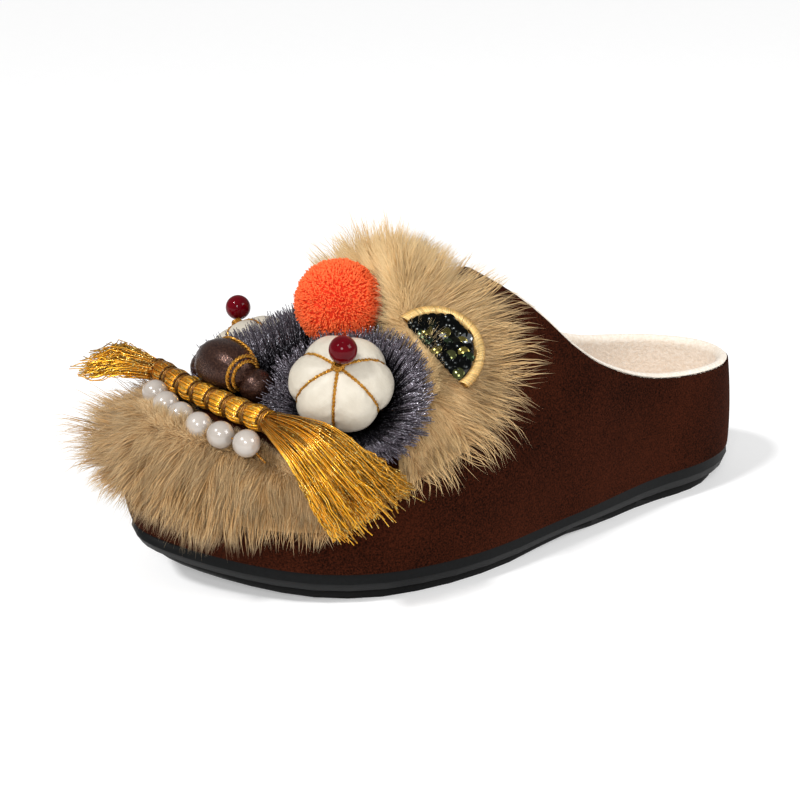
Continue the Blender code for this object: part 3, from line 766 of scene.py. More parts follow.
PLUSH = StrandFinish(
    "plush", Slot.FOOTBED, 0.9, sheen=0.2, root=srgb(228, 212, 192), middle=srgb(240, 230, 216),
    tip=srgb(246, 239, 229), spread=0.10,
)
# Fur: darker roots and lighter tips, the fur's own tone together with painted shade in its depth.
FUR = StrandFinish(
    "fur", Slot.FUR, 0.62, specular=0.25, sheen=0.1, root=srgb(100, 70, 36), middle=srgb(182, 142, 90),
    tip=srgb(230, 202, 156), spread=0.55, rise=0.55,
)
# Lighter copies of the fur and underfur for the brow: painted light, lifting the brow that lies out of the
# sun.
BROW_FUR_PAINTED_LIGHT = StrandFinish(
    "brow_fur", Slot.FUR, 0.62, specular=0.25, sheen=0.1, root=srgb(132, 98, 56), middle=srgb(206, 169, 114),
    tip=srgb(240, 210, 158), spread=0.4, rise=0.45,
)
BROW_PELT_PAINTED_LIGHT = PeltFinish(
    "brow_pelt", Slot.FUR, 0.9, specular=0.1, low=srgb(148, 110, 68), high=srgb(224, 188, 138)
)
UNDERFUR = PeltFinish(
    "underfur", Slot.FUR, 0.9, specular=0.1, low=srgb(120, 86, 48), high=srgb(206, 168, 116)
)
# Gold thread: the darker root is painted shade where the threads shade one another, and the flecks are
# painted glints.
GOLD = StrandFinish(
    "gold_thread", Slot.GOLD, 0.36, metallic=0.7, root=srgb(172, 104, 14), middle=srgb(228, 160, 36),
    tip=srgb(232, 162, 38), spread=1.5, fleck=Fleck(srgb(255, 236, 150), 0.9, 1700),
)
# Gold cord; its flecks are painted glints.
CORD = StrandFinish(
    "gold_cord", Slot.GOLD, 0.4, metallic=0.7, root=srgb(150, 98, 26), middle=srgb(196, 138, 44),
    tip=srgb(150, 98, 26), fleck=Fleck(srgb(244, 208, 120), 0.5, 1400),
)
# Braided binding: a darker gold than the bundle, partly the braid's own tone and partly painted shade in the
# necks between bulges; its flecks are painted glints.
BINDING = StrandFinish(
    "gold_binding", Slot.GOLD, 0.45, metallic=0.6, root=srgb(84, 48, 14), middle=srgb(150, 98, 32),
    tip=srgb(84, 48, 14), spread=0.6, fleck=Fleck(srgb(236, 196, 104), 0.45, 1400),
)
# Gold satin stitches of the ear rim; their flecks are painted glints.
RIM = StrandFinish(
    "gold_rim", Slot.GOLD, 0.42, metallic=0.35, root=srgb(190, 142, 66), middle=srgb(236, 202, 134),
    tip=srgb(190, 142, 66), fleck=Fleck(srgb(255, 240, 196), 0.4, 1500),
)
PEARL = NapFinish(
    "pearl", Slot.PEARL, 0.22, specular=0.6, coat=0.8, low=srgb(166, 157, 148), high=srgb(186, 177, 168),
    scale=60, drift_scale=90, drift=0.5, strength=0.02,
)
GLASS = NapFinish(
    "red_glass", Slot.GLASS, 0.05, specular=0.13, transmission=0.1, low=srgb(84, 0, 10),
    high=srgb(104, 0, 16), scale=120, drift_scale=90, drift=0.4, strength=0.01,
)
# Brown satin; its sparkle is painted glints on the satin.
BROWN_SATIN = SatinFinish(
    "brown_satin", Slot.BROWN_SATIN, 0.38, metallic=0.6, low=srgb(24, 10, 6), high=srgb(56, 26, 17),
    slub=1500, sparkle=Fleck(srgb(214, 160, 132), 0.12, 2600, 0.5, 0.25),
)
WHITE_SATIN = SatinFinish(
    "white_satin", Slot.WHITE_SATIN, 0.42, low=srgb(190, 181, 164), high=srgb(214, 206, 190),
    strength=0.7, depth=0.6 * MM,
)
# Fringe thread: the near-black root is painted shade deep in the fringe, and the flecks are painted glints.
GREY = StrandFinish(
    "grey_thread", Slot.GREY, 0.38, metallic=0.5, root=srgb(10, 9, 11), middle=srgb(42, 37, 44),
    tip=srgb(90, 82, 91), spread=0.8, rise=0.6, fleck=Fleck(srgb(226, 224, 236), 0.6, 1500),
)
ORANGE = StrandFinish(
    "orange_yarn", Slot.ORANGE, 0.85, specular=0.2, sheen=0.1, sheen_tint=srgb(255, 170, 120),
    root=srgb(210, 46, 10), middle=srgb(248, 80, 30), tip=srgb(255, 118, 66), spread=0.25, rise=0.6,
)
ORANGE_CORE = NapFinish(
    "orange_core", Slot.ORANGE, 0.95, low=srgb(196, 40, 10), high=srgb(236, 70, 28), scale=700, strength=0.6
)
SEQUIN = SequinFinish("sequin", Slot.SEQUIN, 0.16, metallic=0.85)
SEQUIN_BACK = NapFinish(
    "sequin_back", Slot.SEQUIN, 0.7, low=srgb(10, 10, 10), high=srgb(26, 26, 24), scale=900
)
PAPER = NapFinish(
    "paper", Slot.PEARL, 0.9, glow=0.285, low=(0.8, 0.8, 0.8), high=(0.82, 0.82, 0.82), scale=40, strength=0.0
)


# Making meshes

MERGE = 0.01 * MM
NODE_MERGE = 0.005 * MM
ASKEW = unit(np.array([0.31, 0.52, 0.79]))
STEPS_A_TURN = 7
LEAST_STEPS = 12
PLY_OFF_AXIS = 0.5
PLY_PITCH = 4.5
PLY_RADIUS = 0.58
PLY_TONES = (0.35, 0.65)
PLY_SIDES = 5
SHORT_TAPER = (1.0, 0.0)
Place = Callable[[Array, Array], Array]
Reach = Callable[[Array], Array]


def placed(
    name: str,
    form: bmesh.types.BMesh | bpy.types.Mesh,
    finish: Finish,
    stands_for: tuple = (),
    sharp: float = 60,
) -> bpy.types.Object:
    """Turns a form into a smooth piece that rides on the shoe.

    Args:
        name: The piece's name.
        form: Its bmesh, which is freed, or its strands.
        finish: What it is made of.
        stands_for: CAD nodes that it replaces.
        sharp: Degrees above which an edge of a bmesh stays sharp.

    Returns:
        The piece.
    """
    mesh = form
    if isinstance(form, bmesh.types.BMesh):
        mesh = meshed(form)
        mesh.shade_smooth()
        mesh.set_sharp_from_angle(angle=math.radians(sharp))
    else:
        mesh.shade_smooth()
    mesh.name = name
    mesh.materials.append(finish.material())
    piece = linked(name, mesh)
    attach(piece, "root")
    if stands_for:
        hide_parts(*stands_for)
    log.info("%s: %d faces", name, len(mesh.polygons))
    return piece


def linked(name: str, data: bpy.types.ID) -> bpy.types.Object:
    """Puts a mesh, a light or a camera into the scene.

    Args:
        name: The object's name.
        data: What it shows.

    Returns:
        The object.
    """
    piece = bpy.data.objects.new(name, data)
    bpy.context.scene.collection.objects.link(piece)
    return piece


def meshed(form: bmesh.types.BMesh) -> bpy.types.Mesh:
    """Turns a bmesh into a mesh and frees it.

    Args:
        form: The bmesh.

    Returns:
        The mesh.
    """
    mesh = bpy.data.meshes.new("form")
    form.to_mesh(mesh)
    form.free()
    return mesh


def strand_form(rings: int, sides: int, pointed: bool) -> bmesh.types.BMesh:
    """One strand, extruded ring by ring, whose vertices know their ring and corner.

    Args:
        rings: Sections from root to tip.
        sides: Corners of a section.
        pointed: Whether the last section is a single point.

    Returns:
        A closed bmesh with the vertex values ring and corner.
    """
    bm = bmesh.new()
    bm.verts.layers.int.new("ring")
    bm.verts.layers.int.new("corner")
    ring, corner = bm.verts.layers.int["ring"], bm.verts.layers.int["corner"]
    bmesh.ops.create_circle(bm, cap_ends=True, segments=sides, radius=1)
    bm.faces.ensure_lookup_table()
    tip = bm.faces[0]
    for k, loop in enumerate(tip.loops):
        loop.vert[corner] = k
    for step in range(1, rings - 1 if pointed else rings):
        grown = bmesh.ops.extrude_face_region(bm, geom=[tip])["geom"]
        if step > 1:
            bmesh.ops.delete(bm, geom=[tip], context="FACES_ONLY")
        tip = next(part for part in grown if isinstance(part, bmesh.types.BMFace))
        bmesh.ops.translate(bm, vec=(0, 0, 1), verts=tip.verts)
        for vert in tip.verts:
            vert[ring] = step
    if pointed:
        peak = bmesh.ops.poke(bm, faces=[tip])["verts"][0]
        peak.co.z += 1
        peak[ring], peak[corner] = rings - 1, 0
        closed(bm)
    bmesh.ops.recalc_face_normals(bm, faces=bm.faces)
    return bm


def closed(bm: bmesh.types.BMesh) -> None:
    """Fills a form's open edges."""
    bmesh.ops.holes_fill(bm, edges=[edge for edge in bm.edges if edge.is_boundary])


def strands(paths: Array, widths: Array, taper: Array, tone: Array, sides: int = 3) -> bpy.types.Mesh:
    """Grows hairs or threads: one strand is doubled until there is one for each path, then laid along it.

    Args:
        paths: Points of each strand, by strand, ring and axis.
        widths: Radius of each strand, in metres.
        taper: Share of that radius at each ring. A strand whose last share is 0 ends in a point.
        tone: Shade of each strand, from 0 to 1.
        sides: Corners of a strand's section.

    Returns:
        A mesh with the vertex values along, from 0 at the root to 1 at the tip, and tone.
    """
    count, rings = paths.shape[:2]
    bm = strand_form(rings, sides, taper[-1] == 0)
    words = (bm.verts.layers.int["ring"], bm.verts.layers.int["corner"])
    at_ring, at_corner = (np.array([vert[word] for vert in bm.verts]) for word in words)
    size = len(bm.verts)
    while len(bm.verts) < size * count:
        bmesh.ops.duplicate(bm, geom=bm.verts[:] + bm.edges[:] + bm.faces[:])
    bm.verts.ensure_lookup_table()
    bmesh.ops.delete(bm, geom=bm.verts[size * count :], context="VERTS")
    for word in ("ring", "corner"):
        bm.verts.layers.int.remove(bm.verts.layers.int[word])
    mesh = meshed(bm)
    _, across, over = section_axes(paths, 1)
    turn = 2 * np.pi * np.arange(sides) / sides
    radius = (np.asarray(widths)[:, None] * np.asarray(taper))[:, :, None, None]
    spoke = across[:, :, None] * np.cos(turn)[:, None] + over[:, :, None] * np.sin(turn)[:, None]
    points = (paths[:, :, None] + radius * spoke)[:, at_ring, at_corner]
    mesh.vertices.foreach_set("co", points.ravel())
    values = {"along": np.tile(at_ring / (rings - 1), count), "tone": np.repeat(np.asarray(tone), size)}
    for word, value in values.items():
        mesh.attributes.new(word, "FLOAT", "POINT").data.foreach_set("value", value.astype(np.float32))
    mesh.update()
    return mesh


def section_axes(paths: Array, axis: int) -> tuple:
    """Unit vectors along a path and two ways across it.

    Args:
        paths: Points of one path or several.
        axis: Which of the array's axes follows a path.

    Returns:
        The three vectors at each point.
    """
    run = unit(np.gradient(paths, axis=axis))
    across = unit(np.cross(run, ASKEW))
    return run, across, np.cross(run, across)


def joined(forms: list) -> bmesh.types.BMesh:
    """Puts several forms into one bmesh and removes them.

    Args:
        forms: Bmeshes or meshes.

    Returns:
        The bmesh.
    """
    whole = bmesh.new()
    for form in forms:
        mesh = meshed(form) if isinstance(form, bmesh.types.BMesh) else form
        whole.from_mesh(mesh)
        bpy.data.meshes.remove(mesh)
    return whole


def twisted(path: Array, radius: float, pitch: float, plies: int = 2) -> Array:
    """Turns a cord's middle line into the lines of its plies.

    Args:
        path: Points of the middle line.
        radius: Radius of the circle the plies' middles run on.
        pitch: Length of one turn.
        plies: How many plies.

    Returns:
        Points by ply, step and axis.
    """
    steps = np.linalg.norm(np.diff(path, axis=0), axis=1)
    travelled = np.concatenate([[0], np.cumsum(steps)])
    count = max(int(travelled[-1] / pitch * STEPS_A_TURN), LEAST_STEPS)
    even = np.linspace(0, travelled[-1], count)
    middle = np.stack([np.interp(even, travelled, path[:, axis]) for axis in range(3)], -1)
    _, across, under = section_axes(middle, 0)
    lines = []
    for ply in range(plies):
        turn = (2 * np.pi * (even / pitch + ply / plies))[:, None]
        lines.append(middle + radius * (across * np.cos(turn) - under * np.sin(turn)))
    return np.array(lines)


def cord(path: Array, radius: float) -> bpy.types.Mesh:
    """A two-ply twisted cord.

    Args:
        path: Points of its middle line.
        radius: Its radius.

    Returns:
        Its plies.
    """
    lines = twisted(path, radius * PLY_OFF_AXIS, radius * PLY_PITCH)
    widths, taper = np.full(len(lines), radius * PLY_RADIUS), np.ones(lines.shape[1])
    return strands(lines, widths, taper, np.array(PLY_TONES), PLY_SIDES)


def pile(rng: np.random.Generator, root: Array, out: Array, ruffle: float, size: tuple) -> bpy.types.Mesh:
    """Short plush fibres.

    Args:
        rng: Source of the random draws.
        root: Where each fibre starts.
        out: Which way it stands.
        ruffle: How far the fibres lean apart.
        size: Full length in metres, least and greatest share of it, least and greatest radius in millimetres.

    Returns:
        The fibres.
    """
    count, (full, short, long, thin, thick) = len(root), size
    out = unit(out + rng.normal(0, ruffle, root.shape))
    length = full * rng.uniform(short, long, count)
    paths = np.stack([root, root + out * length[:, None]], 1)
    widths = rng.uniform(thin, thick, count) * MM
    return strands(paths, widths, np.array(SHORT_TAPER), rng.uniform(0, 1, count))


def sheet(columns: int, rows: int, place: Place) -> bmesh.types.BMesh:
    """A grid laid on a surface, which keeps its two measures as a map.

    Args:
        columns: Steps of the first measure.
        rows: Steps of the second.
        place: Function of two arrays, both from 0 to 1, that gives points.

    Returns:
        The laid grid, its doubled points merged and its faces turned outwards.
    """
    bm = bmesh.new()
    bmesh.ops.create_grid(bm, x_segments=columns, y_segments=rows, size=1)
    laid = bm.loops.layers.uv.new("laid")
    for face in bm.faces:
        for loop in face.loops:
            loop[laid].uv = (loop.vert.co.xy + Vector((1, 1))) / 2
    flat = np.array([vert.co[:2] for vert in bm.verts])
    points = place((flat[:, 0] + 1) / 2, (flat[:, 1] + 1) / 2)
    for vert, point in zip(bm.verts, points):
        vert.co = point
    bmesh.ops.remove_doubles(bm, verts=bm.verts, dist=MERGE)
    bmesh.ops.recalc_face_normals(bm, faces=bm.faces)
    return bm


def thickened(bm: bmesh.types.BMesh, thickness: float) -> bmesh.types.BMesh:
    """Gives a sheet a thickness.

    Args:
        bm: The sheet.
        thickness: How thick, in metres.

    Returns:
        The same bmesh.
    """
    bmesh.ops.solidify(bm, geom=bm.verts[:] + bm.edges[:] + bm.faces[:], thickness=thickness)
    return bm


def ball(steps: tuple, turn: Matrix, reach: Reach) -> bmesh.types.BMesh:
    """A round form: a sphere whose points are pushed out.

    Args:
        steps: How many segments round it and rings down it.
        turn: Its place and turn.
        reach: How far the form stands from its middle in given directions, in its own frame.

    Returns:
        The form.
    """
    bm = bmesh.new()
    bmesh.ops.create_uvsphere(bm, u_segments=steps[0], v_segments=steps[1], radius=1)
    directions = unit(np.array([vert.co for vert in bm.verts]))
    for vert, point in zip(bm.verts, directions * reach(directions)[:, None]):
        vert.co = point
    bmesh.ops.transform(bm, matrix=turn, verts=bm.verts)
    return bm


def drilled(node: str, axis: Array, width: float, depth: float) -> Reach:
    """The form of a bead with a dimple where its hole comes out.

    Args:
        node: CAD node that gives its radius.
        axis: Which way the hole runs.
        width: How wide the dimple is.
        depth: How deep, as a share of the radius.

    Returns:
        How far the bead stands from its middle in given directions.
    """
    low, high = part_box(node)
    radius = (high[2] - low[2]) / 2

    def reach(directions: Array) -> Array:
        """The bead's radius, less at the hole."""
        hole = np.exp(-(((1 - np.abs(directions @ axis)) / width) ** 2))
        return radius * (1 - depth * hole)

    return reach


def node_form(node: str) -> bmesh.types.BMesh:
    """Copies a CAD node's mesh with its loose triangles merged.

    Args:
        node: The node's name.

    Returns:
        The copy.
    """
    bm = bmesh.new()
    bm.from_mesh(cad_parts[node].data)
    bmesh.ops.remove_doubles(bm, verts=bm.verts, dist=NODE_MERGE)
    bmesh.ops.recalc_face_normals(bm, faces=bm.faces)
    return bm


def middle_of(node: str) -> Array:
    """Middle of a CAD node's box."""
    low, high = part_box(node)
    return (np.array(low) + np.array(high)) / 2


def moved_to(place: Array) -> Matrix:
    """A move to a place."""
    return Matrix.Translation(Vector(place))


def seated(centre: tuple, axes: tuple) -> Matrix:
    """A piece's own frame: its middle in millimetres and its three axes."""
    return moved_to(Vector(centre) * MM) @ Matrix(axes).transposed().to_4x4()


def in_frame(turn: Matrix, points: Array) -> Array:
    """Moves points from a piece's own frame to the shoe's."""
    matrix = np.array(turn)
    return points @ matrix[:3, :3].T + matrix[:3, 3]


# Pieces of the shoe


@dataclass
class Upper:
    """Suede upper with a plush lining that rolls over the collar.

    The vamp's creases have a depth, a pace along the shoe and up the wall, the rise they grow over, the
    stations they grow between, the station they end at and the length they fade over.
    """

    columns: int = 176
    rows: int = 40
    suede: float = 1.1 * MM
    crease: float = 0.35 * MM
    crease_pace: tuple = (130, 9)
    crease_rise: tuple = (0.15, 0.5)
    crease_from: tuple = (0.30, 0.42)
    crease_end: float = 0.62
    crease_fade: float = 0.12
    rim_clear: tuple = (0.98, 0.1)
    lining_rows: int = 44
    lining: float = 0.5 * MM
    lining_in: float = 4.4 * MM
    lining_at_rim: float = 0.9 * MM
    lining_foot: float = 0.02
    roll: float = 1.5 * MM
    roll_share: float = 0.12
    roll_start: float = 0.08
    throat_fade: float = 0.02
    fibres: int = 5200
    fibre_size: tuple = (2.0 * MM, 0.6, 1.1, 0.16, 0.28)
    ruffle: float = 0.35
    crowding: float = 1.6
    pile_down_to: float = 0.75
    seed: int = 11

    def build(self) -> None:
        """Makes the suede, the lining and its pile."""
        skin = sheet(self.columns, self.rows, self.suede_place)
        placed("suede_upper", thickened(skin, self.suede), SUEDE, ("upper",))
        lining = sheet(self.columns, self.lining_rows, self.lining_place)
        placed("lining", thickened(lining, self.lining), PLUSH_BACK)
        placed("lining_pile", self.pile(), PLUSH)

    def suede_place(self, u: Array, v: Array) -> Array:
        """Points of the suede's outside, with soft creases where the vamp bends.

        Args:
            u: Places round the outline, heel tip first.
            v: Shares of the wall's height there.

        Returns:
            The points.
        """
        rise = LAST.highest(u) * v
        point = LAST.skin(u, rise)
        station = (LAST.heel_behind - point[:, 1]) / LAST.length
        along, up = self.crease_pace
        lift = self.crease * np.sin(along * station + up * rise) * ramp(rise, *self.crease_rise)
        lift = lift * ramp(self.crease_end - station, 0, self.crease_fade)
        lift *= ramp(station, *self.crease_from) * ramp(self.rim_clear[0] - v, 0, self.rim_clear[1])
        return point + LAST.normal(u, rise) * lift[:, None]

    def lining_place(self, u: Array, v: Array) -> Array:
        """Points of the lining: over the collar's rim, then down inside the wall.

        Args:
            u: Places round the outline, heel tip first.
            v: Shares of the way from the rim's outside to the sole.

        Returns:
            The points.
        """
        opened = ramp(LAST.throat - LAST.ridge_station(u), 0.0, self.throat_fade)
        over = np.clip(v / self.roll_share, 0, 1)
        down = np.maximum(v - self.roll_share, 0) / (1 - self.roll_share)
        rise = LAST.highest(u) * np.clip(1 - down, self.lining_foot, 1)
        inside = self.lining_in + (self.lining_at_rim - self.lining_in) * (1 - over) * opened
        point = LAST.skin(u, rise) - LAST.normal(u, rise) * inside[:, None]
        point[:, 2] += self.roll * np.sin(np.pi * np.clip(over, self.roll_start, 1)) * opened
        return point

    def pile(self) -> bpy.types.Mesh:
        """Grows short plush fibres over the rim and down the inside.

        Returns:
            The fibres.
        """
        rng = np.random.default_rng(self.seed)
        u = rng.uniform(0, 1, self.fibres)
        v = rng.uniform(0.01, 1, self.fibres) ** self.crowding * self.pile_down_to
        step = 2e-3
        root = self.lining_place(u, v)
        down = self.lining_place(u, v + step) - root
        along = self.lining_place(u + step, v) - root
        return pile(rng, root, unit(np.cross(along, down)), self.ruffle, self.fibre_size)


@dataclass
class Sole:
    """Outsole with its smooth band and darker tread, and the footbed inside."""

    step_level: float = 0.42
    band_sharp: float = 32
    footbed_sharp: float = 50
    fibres: int = 2600
    fibre_size: tuple = (MM, 1.0, 2.0, 0.2, 0.32)
    ruffle: float = 0.5
    stations: tuple = (0.01, 0.99)
    across: tuple = (-55 * MM, 60 * MM)
    above: float = 200 * MM
    seed: int = 12

    def build(self) -> None:
        """Makes the outsole, the footbed and the footbed's pile."""
        piece = placed("sole_band", node_form("outsole"), BAND, ("outsole",), self.band_sharp)
        piece.data.materials.append(TREAD.material())
        for face in piece.data.polygons:
            station = (LAST.heel_behind - face.center.y) / LAST.length
            top = float(LAST.sole_top(np.array(station)))
            spring = top - LAST.sole_height - LAST.heel_rise * max(1 - 2 * station, 0)
            if face.center.z < spring + self.step_level * (top - spring):
                face.material_index = 1
        placed("footbed", node_form("insole"), FOOTBED, ("insole",), self.footbed_sharp)
        placed("footbed_pile", self.pile(), PLUSH)

    def pile(self) -> bpy.types.Mesh:
        """Grows short fibres over the footbed.

        Returns:
            The fibres.
        """
        rng = np.random.default_rng(self.seed)
        tree = BVHTree.FromBMesh(node_form("insole"))
        roots, down = [], Vector((0, 0, -1))
        while len(roots) < self.fibres:
            y = float(LAST.y_of(rng.uniform(*self.stations)))
            hit = tree.ray_cast(Vector((rng.uniform(*self.across), y, self.above)), down)[0]
            if hit:
                roots.append(hit)
        return pile(rng, np.array(roots), np.array([0, 0, 1.0]), self.ruffle, self.fibre_size)


@dataclass(frozen=True)
class Coat:
    """One layer of hairs in a band of fur.

    Tips and lean are shares of the band's breadth, height is a share of the fur's depth, hair is a radius,
    gather says how far a hair's tip joins its lock, and span is the stretch of the band it grows on.
    """

    word: str
    count: int
    tips: tuple
    lean: tuple
    height: tuple
    taper: tuple
    hair: float
    gather: float
    span: tuple = (-1.0, 1.0)


@dataclass
class Fur:
    """A band of fur between an inner and an outer edge on the upper.

    Each row gives a place along the band, its inner edge and its outer edge, each by place and rise, and the
    depth of the fur at the inner edge, at the outer edge and at the tips that hang past it.
    """

    name: str
    rows: tuple
    coats: tuple
    over_ridge: bool
    seed: int
    hair: Finish = FUR
    pelt: Finish = UNDERFUR
    fan: tuple = (0.0, 0.0, 0.0)
    fan_keys: tuple = (0.1, 0.55)
    body: float = 0.64
    past: float = 0.32
    lock: float = 6.5 * MM
    lock_rows: int = 5
    lock_forms: int = 997
    splay: float = 3.2 * MM
    upright: float = 15 * MM
    full: float = 16.0
    sway: float = 1.3 * MM
    stray: float = 0.3 * MM
    under_steps: tuple = (240, 36)
    under_span: tuple = (0.015, 0.97)
    under_lift: tuple = (0.6 * MM, 0.5 * MM)
    under_edge: float = 0.98
    under_round: float = 0.55
    under_locks: tuple = (0.86, 0.14)

    def build(self) -> None:
        """Makes the dense underfur and the coats of hair over it."""
        placed(f"{self.name}_under", self.underfur(), self.pelt, (self.name,))
        for coat in self.coats:
            placed(f"{self.name}_{coat.word}", self.hairs(coat), self.hair)

    def read(self, key: Array, columns: tuple) -> tuple:
        """Reads columns of the rows at places along the band."""
        return tuple(eased(np.array(self.rows), column, key) for column in columns)

    def depth(self, key: Array, reach: Array) -> Array:
        """Reads how deep the fur is.

        Args:
            key: Places along the band.
            reach: Shares of the way across it.

        Returns:
            Depths, in metres.
        """
        thick, hem, tip = self.read(key, (5, 6, 7))
        reach = np.maximum(reach, 0)
        beyond = np.clip((reach - 1) / self.past, 0, 1)
        return np.where(reach < 1, thick + (hem - thick) * reach, hem + (tip - hem) * beyond) * MM

    def place(self, key: Array, reach: Array, proud: Array) -> Array:
        """Finds points over the upper.

        Args:
            key: Places along the band.
            reach: Shares of the way across it.
            proud: How far off the upper, in metres.

        Returns:
            The points.
        """
        inner_at, inner_rise, outer_at, outer_rise = self.read(key, (1, 2, 3, 4))
        station = inner_at + (outer_at - inner_at) * reach
        rise = np.clip(inner_rise + (outer_rise - inner_rise) * reach, 0.02, 1)
        around = LAST.around_at(station, np.where(key < 0, 1, -1)) if self.over_ridge else station
        fanned = ramp(key, *self.fan_keys) * (1 - np.clip(reach, 0, 1)) * proud
        return LAST.skin(around, rise, proud) + fanned[..., None] * np.array(self.fan)

    def spacing(self) -> tuple:
        """Measures the band.

        Returns:
            Places along it, the run in metres up to each, and the share of the fur's surface up to each.
        """
        keys = np.linspace(self.rows[0][0], 1, 400)
        lines = (self.place(keys, np.full(400, at), self.depth(keys, at)) for at in (0.6, 0.05, 1.15))
        middle, inner, outer = lines
        run = np.concatenate([[0], np.cumsum(np.linalg.norm(np.diff(middle, axis=0), axis=1))])
        breadth = np.linalg.norm(outer - inner, axis=1)
        area = np.concatenate([[0], np.cumsum(np.diff(run) * breadth[1:])])
        return keys, run, area / area[-1]

    def underfur(self) -> bmesh.types.BMesh:
        """Makes a closed cushion at part of the fur's depth, drawn into soft locks.

        Returns:
            The cushion.
        """
        keys, run, _ = self.spacing()
        start, share = self.under_span
        base, below = self.under_lift
        even, drawn_in = self.under_locks

        def lay(u: Array, v: Array) -> Array:
            """Finds points of the cushion.

            Args:
                u: Shares of the way along the band.
                v: Shares of the way round the cushion, over it first.

            Returns:
                The points.
            """
            key = np.interp((start + share * u) * run[-1], run, keys)
            over = v <= 0.5
            reach = np.where(over, 2 * v, 2 - 2 * v)
            swell = np.clip(np.sin(np.pi * reach), 0, 1) ** self.under_round
            lock = np.abs(np.sin(np.pi * u * run[-1] / self.lock + 1.2 * np.sin(7 * reach + 3 * u)))
            high = base + self.body * self.depth(key, reach) * swell * (even + drawn_in * np.sqrt(lock))
            return self.place(key, reach * self.under_edge, np.where(over, high, below))

        bm = sheet(*self.under_steps, lay)
        closed(bm)
        bmesh.ops.recalc_face_normals(bm, faces=bm.faces)
        return bm

    def hairs(self, coat: Coat) -> bpy.types.Mesh:
        """Grows hairs that come out of the underfur, lean to the outer edge and gather into locks.

        Args:
            coat: The layer of hairs.

        Returns:
            The hairs.
        """
        rng = np.random.default_rng((self.seed, coat.count))
        n, s = coat.count, np.linspace(0, 1, len(coat.taper))
        keys, run, area = self.spacing()
        key = np.interp(rng.uniform(*np.interp(coat.span, keys, area), n), area, keys)
        along = np.interp(key, keys, run)
        tip = rng.uniform(*coat.tips, n)
        tip *= np.where(tip < 0, np.clip(self.read(key, (5,))[0] / self.full, 0, 1), 1)
        depth = self.depth(key, tip)
        lean = rng.uniform(*coat.lean, n) * np.clip(self.upright / depth, 0.2, 1)
        root = np.clip(tip - lean, 0, 0.96) + np.where(tip < lean, rng.uniform(0, 0.18, n), 0)
        column = np.floor(along / self.lock + rng.normal(0, 0.2, n))
        row = np.floor(tip * self.lock_rows + rng.normal(0, 0.3, n))
        draws = np.random.default_rng(self.seed).uniform(-1, 1, (self.lock_forms, 4))
        off, splay, stretch, shade = draws[(column * 61 + row * 17).astype(int) % self.lock_forms].T
        middle = (column + 0.5 + 0.3 * off) * self.lock
        drift = ((middle - along) * coat.gather + self.splay * splay)[:, None] * s**1.4
        phase, swing = rng.uniform(0, 6, n)[:, None], rng.uniform(-1, 1, n)[:, None]
        bend = np.sin(2.6 * s + phase) * s * self.sway * swing
        path_keys = np.interp(along[:, None] + drift + bend, run, keys)
        reach = root[:, None] + ((tip - root) * (1 + 0.12 * off))[:, None] * s
        top = depth * rng.uniform(*coat.height, n) * (1 + 0.1 * stretch)
        base = np.minimum(0.6 * self.body * self.depth(key, root), 0.6 * top)
        proud = base[:, None] + (top - base)[:, None] * (1 - (1 - s) ** 1.6)
        paths = self.place(path_keys, reach, proud)
        paths += rng.normal(0, self.stray, paths.shape) * s[:, None]
        tone = np.clip(0.5 + 0.25 * shade + rng.normal(0, 0.17, n), 0, 1)
        return strands(paths, coat.hair * rng.uniform(0.7, 1.2, n), np.array(coat.taper), tone)


@dataclass(frozen=True)
class Fan:
    """A tassel's spread.

    Across is the way its width runs, and frizz is how far loose threads stand up from it, in millimetres.
    Each row is a section: the share of the length, and in millimetres its middle, width and thickness.
    """

    flank: Flank
    across: tuple
    frizz: float
    threads: int
    rows: tuple


